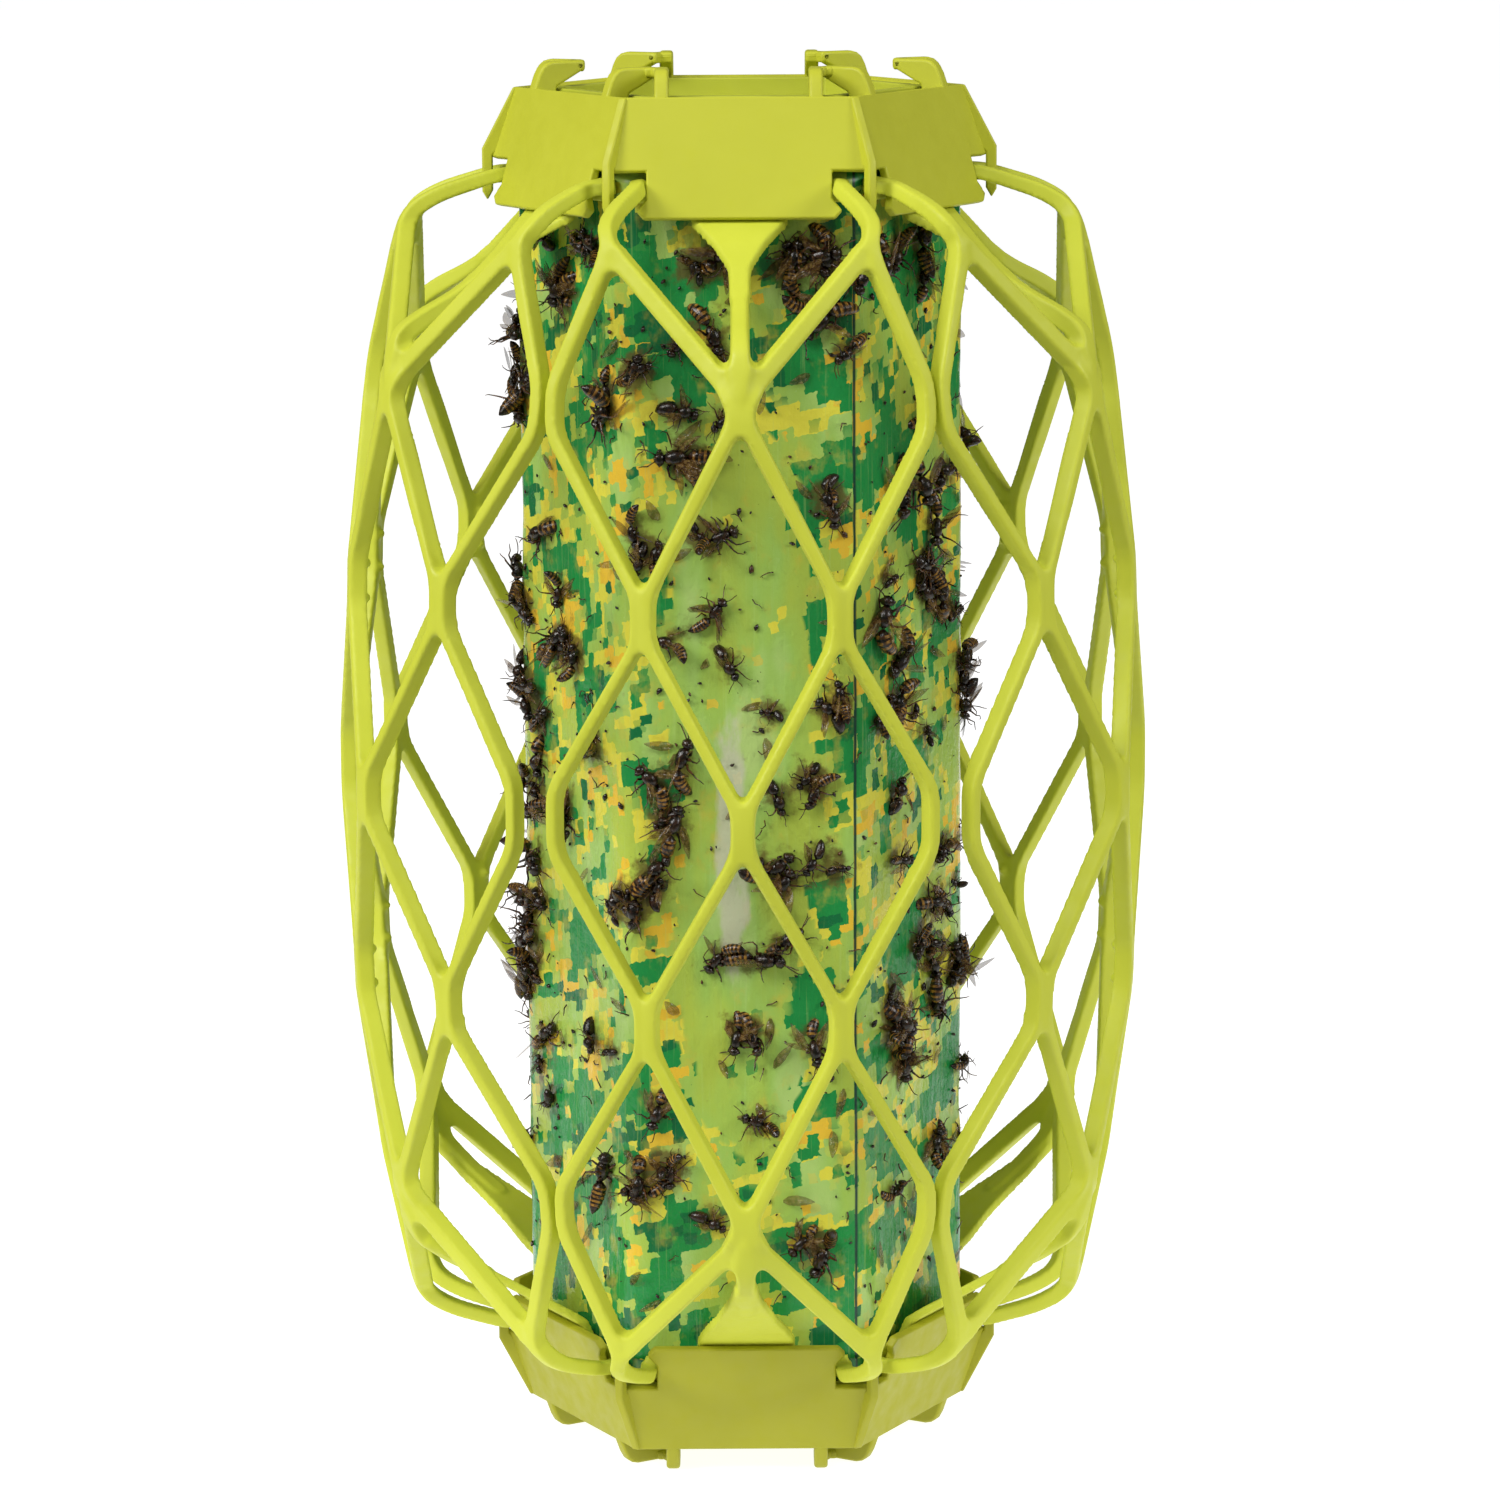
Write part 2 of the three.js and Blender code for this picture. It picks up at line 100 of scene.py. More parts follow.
def make_camera():
    data = bpy.data.cameras.new("camera")
    data.sensor_width = 36
    data.lens = data.sensor_width / 2 / math.tan(math.radians(CAMERA["fov"] / 2))
    data.clip_start = 0.01
    camera = new_object("camera", data)
    pitch = math.radians(CAMERA["pitch"])
    back = Vector((0, -math.cos(pitch), math.sin(pitch)))
    camera.location = MID + (Vector(CAMERA["aim"]) + back * CAMERA["distance"]) * MM
    look = (-back).to_track_quat("-Z", "Y").to_matrix().to_4x4()
    roll = Matrix.Rotation(math.radians(CAMERA["roll"]), 4, "Z")
    camera.rotation_euler = (look @ roll).to_euler()
    bpy.context.scene.camera = camera


def area_light(name, place, size, energy, colour):
    data = bpy.data.lights.new(name, "AREA")
    data.shape = "DISK"
    data.size = size
    data.energy = energy
    data.color = colour
    light = new_object(name, data)
    light.location = MID + Vector(place)
    light.rotation_euler = (-Vector(place)).to_track_quat("-Z", "Y").to_euler()


def make_studio():
    scene = bpy.context.scene
    scene.view_settings.view_transform = "Standard"
    scene.world = bpy.data.worlds.new("studio")
    scene.world.use_nodes = True
    sky_light(scene.world.node_tree)
    for lamp in LAMPS:
        area_light(*lamp)


def sky_light(tree):
    """A soft sky, brightest ahead and above on the left, dim to the sides and back."""
    sky = Nodes(tree)
    place = sky.node("ShaderNodeTexCoord").outputs["Generated"]
    towards = sky.node("ShaderNodeVectorMath", operation="DOT_PRODUCT")
    sky.plug(towards.inputs[0], place)
    sky.plug(towards.inputs[1], Vector(SKY["towards"]).normalized())
    fade = sky.step(towards.outputs["Value"], SKY["from"], SKY["to"])
    backdrop = tree.nodes["Background"]
    backdrop.inputs["Color"].default_value = (1.0, 1.0, 1.0, 1)
    sky.plug(backdrop.inputs["Strength"],
             sky.maths("MULTIPLY_ADD", fade, SKY["bright"] - SKY["dim"], SKY["dim"]))


def make_floor():
    """A floor that turns pale and glows white from the object's foot backwards: painted light."""
    mesh = bpy.data.meshes.new("floor")
    form = bmesh.new()
    bmesh.ops.create_circle(form, cap_ends=True, segments=96, radius=FLOOR["radius"])
    form.to_mesh(mesh)
    form.free()
    floor = new_object("floor", mesh)
    floor.location.z = cad_low.z
    paint = Paint("floor_white")
    x, y = paint.split(paint.object_place())
    beside = paint.maths("MULTIPLY_ADD", y, -FLOOR["widens"], paint.maths("ABSOLUTE", x))
    sweep = paint.maths("MULTIPLY", paint.step(y, *FLOOR["starts"]),
                        paint.rest(paint.step(beside, *FLOOR["half"])))
    paint.feed("Base Color", paint.mix(sweep, FLOOR["dim"], FLOOR["pale"]))
    # painted light: the pale part of the floor glows
    paint.feed("Emission Strength", paint.maths("MULTIPLY", sweep, FLOOR["glow"]))
    paint.set(Roughness=0.95, Emission_Color=(1.0, 1.0, 1.0, 1.0), Specular_IOR_Level=0.1)
    mesh.materials.append(paint.material)


# ------------------------------------------------------------------ materials
class Nodes:
    """Short calls that add shader nodes to a tree. Each returns the socket it ends in."""

    def __init__(self, tree):
        self.tree = tree

    def node(self, kind, **settings):
        node = self.tree.nodes.new(kind)
        for name, value in settings.items():
            setattr(node, name, value)
        return node

    def plug(self, socket, value):
        """Links a socket to another one, sets it to a constant, or leaves it alone for None."""
        if isinstance(value, bpy.types.NodeSocket):
            self.tree.links.new(value, socket)
        elif value is not None:
            socket.default_value = value

    def maths(self, operation, *values):
        node = self.node("ShaderNodeMath", operation=operation)
        for socket, value in zip(node.inputs, values):
            self.plug(socket, value)
        return node.outputs[0]

    def rest(self, share):
        """What a share leaves of 1."""
        return self.maths("SUBTRACT", 1.0, share)

    def vector(self, operation, *values):
        node = self.node("ShaderNodeVectorMath", operation=operation)
        for socket, value in zip(node.inputs, values):
            self.plug(socket, value)
        return node.outputs[0]

    def stretch(self, place, *scales):
        return self.vector("MULTIPLY", place, scales)

    def split(self, place):
        """The x and y of a place."""
        node = self.node("ShaderNodeSeparateXYZ")
        self.plug(node.inputs[0], place)
        return node.outputs[0], node.outputs[1]

    def mix(self, share, a, b):
        node = self.node("ShaderNodeMix", data_type="RGBA")
        self.plug(node.inputs["Factor"], share)
        self.plug(node.inputs[6], (*a, 1) if isinstance(a, tuple) else a)
        self.plug(node.inputs[7], (*b, 1) if isinstance(b, tuple) else b)
        return node.outputs[2]

    def noise(self, place, scale, detail=2.0, roughness=0.5, output="Fac"):
        node = self.node("ShaderNodeTexNoise")
        self.plug(node.inputs["Vector"], place)
        self.plug(node.inputs["Scale"], scale)
        self.plug(node.inputs["Detail"], detail)
        self.plug(node.inputs["Roughness"], roughness)
        return node.outputs[output]

    def step(self, value, low, high):
        """0 below low and 1 above high, smooth between."""
        node = self.node("ShaderNodeMapRange", interpolation_type="SMOOTHSTEP")
        self.plug(node.inputs["Value"], value)
        self.plug(node.inputs["From Min"], low)
        self.plug(node.inputs["From Max"], high)
        return node.outputs["Result"]

    def bump(self, height, strength, distance, under=None):
        node = self.node("ShaderNodeBump")
        self.plug(node.inputs["Height"], height)
        self.plug(node.inputs["Strength"], strength)
        self.plug(node.inputs["Distance"], distance)
        self.plug(node.inputs["Normal"], under)
        return node.outputs["Normal"]

    def object_place(self):
        return self.node("ShaderNodeTexCoord").outputs["Object"]


class Paint(Nodes):
    """A material with one Principled shader."""

    def __init__(self, name):
        self.material = bpy.data.materials.new(name)
        self.material.use_nodes = True
        super().__init__(self.material.node_tree)
        self.shader = self.tree.nodes["Principled BSDF"]

    def set(self, **sockets):
        for name, value in sockets.items():
            self.shader.inputs[name.replace("_", " ")].default_value = value

    def feed(self, socket, source):
        self.tree.links.new(source, self.shader.inputs[socket])


# each lime as its lit and its deeper shade
PANEL_LIME = ((0.635, 0.68, 0.054), (0.595, 0.64, 0.046))
COLLAR_LIME = ((0.545, 0.565, 0.034), (0.520, 0.540, 0.030))
# the bottom collar's lime is darker than the top collar's: painted shade
SHADED_LOWER_COLLAR_LIME = ((0.400, 0.398, 0.020), (0.375, 0.373, 0.018))
CAP_LIME = ((0.50, 0.54, 0.045), (0.45, 0.49, 0.038))


def lime_plastic(name, lit, deep):
    """Satin moulded plastic: faint flow clouds, a fine skin and a slight waxiness."""
    paint = Paint(name)
    place = paint.object_place()
    cloud = paint.noise(place, 38, 3)
    paint.feed("Base Color", paint.mix(paint.step(cloud, 0.35, 0.65), deep, lit))
    grain = paint.noise(place, 2600, 2, 0.6)
    paint.feed("Roughness", paint.step(paint.noise(place, 300, 3), -0.7, 1.6))
    soft = paint.bump(paint.noise(place, 160, 2), 0.12, 0.0006)
    paint.feed("Normal", paint.bump(grain, 0.10, 0.00008, soft))
    paint.set(Specular_IOR_Level=0.36)
    return paint.material


def steel_wire():
    paint = Paint("steel_wire")
    drawn = paint.noise(paint.stretch(paint.object_place(), 900, 60, 900), 1, 3)
    paint.feed("Base Color", paint.mix(drawn, (0.42, 0.42, 0.43), (0.66, 0.67, 0.68)))
    paint.feed("Roughness", paint.step(drawn, -0.2, 1.7))
    paint.set(Metallic=1.0)
    return paint.material


def core_board():
    paint = Paint("core_board")
    fibre = paint.noise(paint.stretch(paint.object_place(), 500, 500, 90), 1, 4)
    paint.feed("Base Color", paint.mix(fibre, (0.56, 0.52, 0.42), (0.74, 0.71, 0.60)))
    paint.feed("Normal", paint.bump(fibre, 0.3, 0.0003))
    paint.set(Roughness=0.85)
    return paint.material


def lure_rubber():
    paint = Paint("lure_rubber")
    place = paint.object_place()
    dust = paint.noise(place, 420, 4)
    paint.feed("Base Color", paint.mix(dust, (0.20, 0.030, 0.018), (0.34, 0.07, 0.045)))
    paint.feed("Normal", paint.bump(paint.noise(place, 1500, 2), 0.2, 0.0002))
    paint.set(Roughness=0.78)
    return paint.material


# the film's map counts in 100 mm: across along the wrap, and up from mid-height
PERIOD = 0.4387  # one face's share of the film
PRINT = {
    "leaf": (0.34, 0.57, 0.115),
    "pale": (0.48, 0.66, 0.205),
    "moss": (0.44, 0.56, 0.075),
    "honey": (0.66, 0.50, 0.060),
    "yellow": (0.76, 0.70, 0.070),
    "orange": (0.84, 0.54, 0.045),
    "green": (0.016, 0.27, 0.060),
    "teal": (0.008, 0.16, 0.050),
    "seam": (0.012, 0.05, 0.035),
    "stain": (0.13, 0.075, 0.022),
    "dirt": (0.035, 0.02, 0.01),
    "milk": (0.62, 0.61, 0.46),
}
BLOCKS = [  # ink, block size, noise scale and seed, where the ink starts and is full, and whether it grows at the ends as painted shade
    ("yellow", (0.017, 0.023), 13, 1.3, (0.53, 0.56), False),
    ("orange", (0.019, 0.021), 15, 4.1, (0.585, 0.61), False),
    ("green", (0.021, 0.025), 9, 7.7, (0.527, 0.547), True),
    ("teal", (0.025, 0.021), 10, 2.9, (0.625, 0.63), True),
]
SLANT = (0.10, -0.24)  # how the print's rows and columns lean
WAVER = 0.020  # how far the block edges wander under the glue
PLAIN = {"half": 0.15, "up": 0.78, "ragged": 0.9, "edge": (0.9, 1.6), "thins": 0.13}
MILK = {"across": (4.2, 0.58), "up": (3.0, 0.42), "ragged": 2.6, "edge": (1.5, 2.4), "most": 0.78}
SEAM_LINE = 0.219


def block_noise(paint, cell, place, scale, seed):
    """Noise that keeps one value over each small block of the print."""
    snapped = paint.vector("FLOOR", paint.vector("DIVIDE", place, (*cell, 1)))
    spread = paint.stretch(snapped, *cell, 1)
    return paint.noise(paint.vector("ADD", spread, (seed, seed * 0.7, seed)), scale, 2.5, 0.62)


def printed_film(name, glue):
    """The film's print: small blocks of green, teal and yellow. With glue, a wet tacky coat."""
    paint = Paint(name)
    maths, step, mix = paint.maths, paint.step, paint.mix
    uv = paint.node("ShaderNodeUVMap", uv_map="film").outputs["UV"]
    across, up = paint.split(uv)
    join = paint.node("ShaderNodeCombineXYZ")
    paint.plug(join.inputs[0], maths("MULTIPLY_ADD", up, SLANT[0], across))
    paint.plug(join.inputs[1], maths("MULTIPLY_ADD", across, SLANT[1], up))
    wander = paint.noise(uv, 55.0, output="Color")
    shift = paint.stretch(paint.vector("SUBTRACT", wander, (0.5, 0.5, 0.5)), WAVER, WAVER, 0)
    rows = paint.vector("ADD", join.outputs[0], shift)

    # the plain light field down the middle of every third face, where the blocks thin out
    turn = maths("ADD", maths("DIVIDE", across, 3 * PERIOD), 0.5)
    off = maths("SUBTRACT", maths("FRACT", turn), 0.5)
    sideways = maths("MULTIPLY", off, 3 * PERIOD / PLAIN["half"])
    height = maths("DIVIDE", up, PLAIN["up"])
    away = maths("ADD", maths("POWER", maths("ABSOLUTE", sideways), 2.0),
                 maths("POWER", maths("ABSOLUTE", height), 3.0))
    ragged = maths("MULTIPLY", paint.noise(uv, 6, 2), PLAIN["ragged"])
    plain = paint.rest(step(maths("ADD", away, ragged), *PLAIN["edge"]))
    bare = maths("MULTIPLY", plain, PLAIN["thins"])

    shade = paint.noise(paint.stretch(uv, 1.4, 0.5, 1), 5, 3)
    colour = mix(step(shade, 0.36, 0.62), PRINT["moss"], PRINT["leaf"])
    colour = mix(step(shade, 0.52, 0.70), colour, PRINT["pale"])
    # painted shade: more of the dark green and teal blocks towards the top and bottom ends
    ends = maths("MULTIPLY", step(maths("ABSOLUTE", up), 0.45, 0.95), 0.05)
    for ink, cell, scale, seed, edge, shaded_at_ends in BLOCKS:
        amount = maths("SUBTRACT", block_noise(paint, cell, rows, scale, seed), bare)
        if shaded_at_ends:
            amount = maths("ADD", amount, ends)
        colour = mix(step(amount, *edge), colour, PRINT[ink])

    # soft honey-coloured patches, and ink laid down in fine upright lines
    honey = step(paint.noise(paint.stretch(uv, 1.3, 0.9, 1), 13, 4, 0.6), 0.54, 0.72)
    colour = mix(maths("MULTIPLY", honey, 0.42), colour, PRINT["honey"])
    lines = paint.noise(paint.stretch(uv, 150, 4, 1), 1, 3)
    colour = mix(maths("MULTIPLY", step(lines, 0.56, 0.75), 0.25), colour, PRINT["pale"])
    seam = step(maths("ABSOLUTE", maths("SUBTRACT", across, SEAM_LINE)), 0.001, 0.006)
    colour = mix(seam, PRINT["seam"], colour)
    if glue:
        near = paint.node("ShaderNodeAttribute", attribute_name="stain").outputs["Fac"]
        stain = maths("MULTIPLY_ADD", near, 0.34, paint.noise(uv, 24, 5, 0.65))
        colour = mix(maths("MULTIPLY", step(stain, 0.62, 0.86), 0.8), colour, PRINT["stain"])
        colour = mix(step(paint.noise(uv, 95, 2, 0.5), 0.74, 0.80), colour, PRINT["dirt"])
        # a milky run of glue near the middle of the plain field
        beside = maths("ABSOLUTE", maths("MULTIPLY_ADD", sideways, *MILK["across"]))
        above = maths("ABSOLUTE", maths("MULTIPLY_ADD", height, *MILK["up"]))
        run = maths("ADD", maths("POWER", beside, 2.0), maths("POWER", above, 4.0))
        ragged = paint.noise(paint.stretch(uv, 9, 3, 1), 3, 4, 0.6)
        run = maths("MULTIPLY_ADD", ragged, MILK["ragged"], run)
        milk = maths("MULTIPLY", paint.rest(step(run, *MILK["edge"])), MILK["most"])
        colour = mix(milk, colour, PRINT["milk"])
        ripples = paint.noise(paint.stretch(uv, 26, 8, 1), 1, 4, 0.6)
        coat = paint.bump(ripples, 0.55, 0.0009)
        paint.feed("Normal", paint.bump(paint.noise(uv, 70, 3, 0.6), 0.40, 0.0004, coat))
        paint.feed("Roughness", step(paint.noise(uv, 22, 3), -0.1, 2.2))
        paint.set(Specular_IOR_Level=0.38)
    else:
        paint.set(Roughness=0.34)
    paint.feed("Base Color", colour)
    return paint.material


# ------------------------------------------------------------------ meshes
def add_object(name, points, faces, *materials):
    """A smooth-shaded object from points in millimetres from mid-height."""
    mesh = bpy.data.meshes.new(name)
    lifted = [Vector(p) * MM + MID for p in points]
    mesh.from_pydata(lifted, [], faces)
    mesh.validate()
    mesh.polygons.foreach_set("use_smooth", [True] * len(mesh.polygons))
    for material in materials:
        mesh.materials.append(material)
    return new_object(name, mesh)


def bake_modifiers(piece):
    """Applies the piece's modifiers to its mesh."""
    bpy.context.view_layer.update()
    shaped = piece.evaluated_get(bpy.context.evaluated_depsgraph_get())
    mesh = bpy.data.meshes.new_from_object(shaped)
    piece.modifiers.clear()
    piece.data = mesh


def soften_edges(piece, width, segments=3, angle=32):
    """Rounds the sharp edges, and keeps the flats flat."""
    bevel = piece.modifiers.new("edges", "BEVEL")
    bevel.width = width * MM
    bevel.segments = segments
    bevel.limit_method = "ANGLE"
    bevel.angle_limit = math.radians(angle)
    bevel.use_clamp_overlap = True
    flats = piece.modifiers.new("flats", "WEIGHTED_NORMAL")
    flats.keep_sharp = True
    bake_modifiers(piece)


def round_angles(count):
    """Angles that share out a full turn."""
    return np.linspace(0, 2 * math.pi, count, endpoint=False)


class Shells:
    """Closed shells gathered into one mesh."""

    def __init__(self):
        self.points = []
        self.faces = []
        self.paints = []  # the material of each face, from the last set self.paint
        self.paint = 0

    def add(self, points, faces, matrix=None):
        start = len(self.points)
        self.paints += [self.paint] * len(faces)
        for point in points:
            point = Vector(point)
            self.points.append(matrix @ point if matrix else point)
        self.faces.extend([start + i for i in face] for face in faces)

    def prism(self, outline, thick, matrix):
        """An outline of [x, y] made thick along z, centred on it."""
        count = len(outline)
        points = [(x, y, side * thick / 2) for side in (-1, 1) for x, y in outline]
        walls = [[i, (i + 1) % count, (i + 1) % count + count, i + count] for i in range(count)]
        ends = [list(range(count))[::-1], [i + count for i in range(count)]]
        self.add(points, walls + ends, matrix)

    def loft(self, loops, closed=True, matrix=None):
        """Loops of the same number of points joined in order, and back to the first if closed."""
        count = len(loops[0])
        points = [p for loop in loops for p in loop]
        faces = []
        for row in range(len(loops) if closed else len(loops) - 1):
            near, far = row * count, (row + 1) % len(loops) * count
            for i in range(count):
                j = (i + 1) % count
                faces.append([near + i, near + j, far + j, far + i])
        if not closed:
            faces.append(list(range(count))[::-1])
            faces.append([(len(loops) - 1) * count + i for i in range(count)])
        self.add(points, faces, matrix)

    def tube(self, path, radii, sides, matrix=None):
        """A round rod along a path, with a radius at each point."""
        path = [Vector(p) for p in path]
        side = None
        loops = []
        for i, point in enumerate(path):
            along = (path[min(i + 1, len(path) - 1)] - path[max(i - 1, 0)]).normalized()
            side = along.orthogonal() if side is None else side - along * side.dot(along)
            side.normalize()
            third = along.cross(side)
            loops.append([point + (side * math.cos(a) + third * math.sin(a)) * radii[i]
                          for a in round_angles(sides)])
        self.loft(loops, closed=False, matrix=matrix)

    def build(self, name, *materials):
        piece = add_object(name, self.points, self.faces, *materials)
        if any(self.paints):
            piece.data.polygons.foreach_set("material_index", self.paints)
        form = bmesh.new()
        form.from_mesh(piece.data)
        bmesh.ops.recalc_face_normals(form, faces=form.faces)
        form.to_mesh(piece.data)
        form.free()
        return piece


def side_plane(across=0.0, turn=0.0):
    """Takes an outline in (out, z) to the plate that stands across the face."""
    upright = Matrix(((0, 0, -1, across), (-1, 0, 0, 0), (0, 1, 0, 0), (0, 0, 0, 1)))
    return Matrix.Rotation(turn, 4, "Z") @ upright


CORNER_STEPS = 8  # faces round each corner of a hexagon


def six_sided(apothem, rounding, z):
    """A loop round a hexagon with rounded corners: a circle when the rounding is the apothem."""
    centre = (apothem - rounding) / math.cos(TURN / 2)
    loop = []
    for corner in range(FACES):
        for step in range(CORNER_STEPS + 1):
            angle = corner * TURN + (step / CORNER_STEPS - 0.5) * TURN
            if rounding == apothem and step == CORNER_STEPS:
                continue
            loop.append((centre * math.cos(corner * TURN) + rounding * math.cos(angle),
                         centre * math.sin(corner * TURN) + rounding * math.sin(angle), z))
    return loop


def finish_piece(piece, body, slot, *nodes):
    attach(piece, body)
    if nodes:
        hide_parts(*nodes)


# ------------------------------------------------------------------ guard panels
# strands run from the top foot to mid-height as (across, out, z, width, depth), then mirrored down
EDGE_STRAND = [
    (19.2, 39.9, 115.9, 3.1, 2.7), (19.3, 44.6, 115.7, 3.1, 2.8), (23.2, 54.4, 112.4, 3.1, 3.0),
    (24.9, 59.0, 109.6, 3.1, 3.2), (23.9, 61.7, 105.8, 3.1, 3.5), (34.5, 62.8, 80.9, 2.8, 3.5),
    (34.8, 63.9, 72.3, 2.7, 3.5), (19.2, 75.4, 43.3, 2.4, 3.5), (19.2, 75.7, 34.3, 2.4, 3.5),
    (35.3, 70.0, 5.9, 2.5, 3.5)]
INNER_STRAND = [
    (22.3, 62.2, 104.3, 3.6, 3.5), (1.1, 75.9, 80.4, 3.6, 3.5), (0.9, 76.9, 75.6, 3.0, 3.5),
    (17.4, 76.1, 43.2, 2.4, 3.5), (17.4, 76.4, 34.4, 2.4, 3.5), (0.95, 83.2, 4.2, 2.4, 3.5)]
STEMS = {
    1: [(0, 54.0, 100.6, 3.3, 1.8), (0, 57.5, 98.0, 3.3, 2.2), (0, 63.5, 94.0, 3.3, 3.1),
        (0, 70.0, 90.8, 3.3, 3.5), (0, 74.2, 88.2, 3.5, 3.5), (0, 75.3, 85.4, 4.0, 3.5),
        (0, 76.2, 81.0, 5.6, 3.5)],
    -1: [(0, 60.3, 97.9, 3.2, 2.2), (0, 66.5, 94.2, 3.3, 3.1), (0, 73.0, 89.2, 3.3, 3.5),
         (0, 74.9, 85.8, 4.0, 3.5), (0, 76.2, 81.0, 5.6, 3.5)],
}
# the centre gusset's sheet, from its tip inwards as (out, z), and its half-width at each out
TONGUES = {
    1: ([(59.0, 97.3), (54.0, 101.6), (48.5, 105.5), (45.3, 107.5), (42.3, 109.3), (40.7, 112.8),
         (40.2, 116.2)],
        [(38.0, 9.3), (42.2, 9.1), (48.2, 5.0), (53.9, 2.0), (57.0, 1.6), (59.5, 1.5)]),
    -1: ([(72.0, 90.4), (66.5, 94.4), (57.0, 99.9), (49.0, 105.0), (45.3, 107.2), (42.3, 109.3),
          (40.7, 112.8), (40.2, 116.2)],
         [(38.0, 9.6), (42.3, 9.5), (49.0, 7.9), (54.5, 5.9), (64.0, 3.8), (68.0, 2.9),
          (72.0, 2.0)]),
}
FOOT = {"across": 15.5, "out": 40.0, "z": 114.9, "half": (4.4, 0.7, 2.0)}
GUSSET_BOX = ((-12, 38.5, 87.0), (12, 75, 118.5))  # what a centre gusset's sheet stays within
SHEET_HALF = 0.85  # half the sheet's thickness
SHEET_SLANT = 0.87  # turns the gap across the sheet into a distance from its slanted edge
NUBS = (41.8, 35.0, 10.5)  # heights of the small nubs inside each edge strand
NUB_RADIUS = 0.8
FILLET = 2.5  # how far apart two strands still melt into each other, sideways
EDGE_ROUND = 0.38
DRAFT = 0.2  # how much narrower each side of a strut is at its outer face than at mid-depth
HALF_DEPTH = 1.72  # a strut's usual half-depth
REACH = 5.4  # how far from its middle line a strut is worked out
FAR = 9.0  # the distance given to places that no strut reaches
SOFT = 2.3  # how sharply a separate shape joins the struts
GRID_BAND = 3.0  # the largest distance that the grid holds
CURVE_POINTS = 5  # points on each eased corner


def whole_strand(run, hand):
    """The strand on one side of a panel, from its top end to its bottom end."""
    upper = [(hand * x, y, z, w, d) for x, y, z, w, d in run]
    return upper + [(x, y, -z, w, d) for x, y, z, w, d in upper[::-1]]


def eased(run, radius=3.2):
    """Turns each corner of a run of points into a short curve."""
    points = [np.array(p, float) for p in run]
    smooth = [points[0]]
    for before, corner, after in zip(points, points[1:], points[2:]):
        back, on = before - corner, after - corner
        start = corner + back * min(0.46, radius / np.linalg.norm(back[:3]))
        end = corner + on * min(0.46, radius / np.linalg.norm(on[:3]))
        for t in np.linspace(0, 1, CURVE_POINTS):
            smooth.append((1 - t) ** 2 * start + 2 * t * (1 - t) * corner + t * t * end)
    smooth.append(points[-1])
    return smooth


def outward(point):
    """The way a strut's flat face looks: away from the axis, and upwards on the top arms."""
    away = np.array([point[0], point[1], 0.0]) / np.hypot(point[0], point[1])
    away[2] = np.sign(point[2]) * max(0.0, (abs(point[2]) - 101) / 7)
    return away


def project(offsets, axis):
    """How far offsets of [x, y, z] run along an axis."""
    return sum(offset * share for offset, share in zip(offsets, axis))


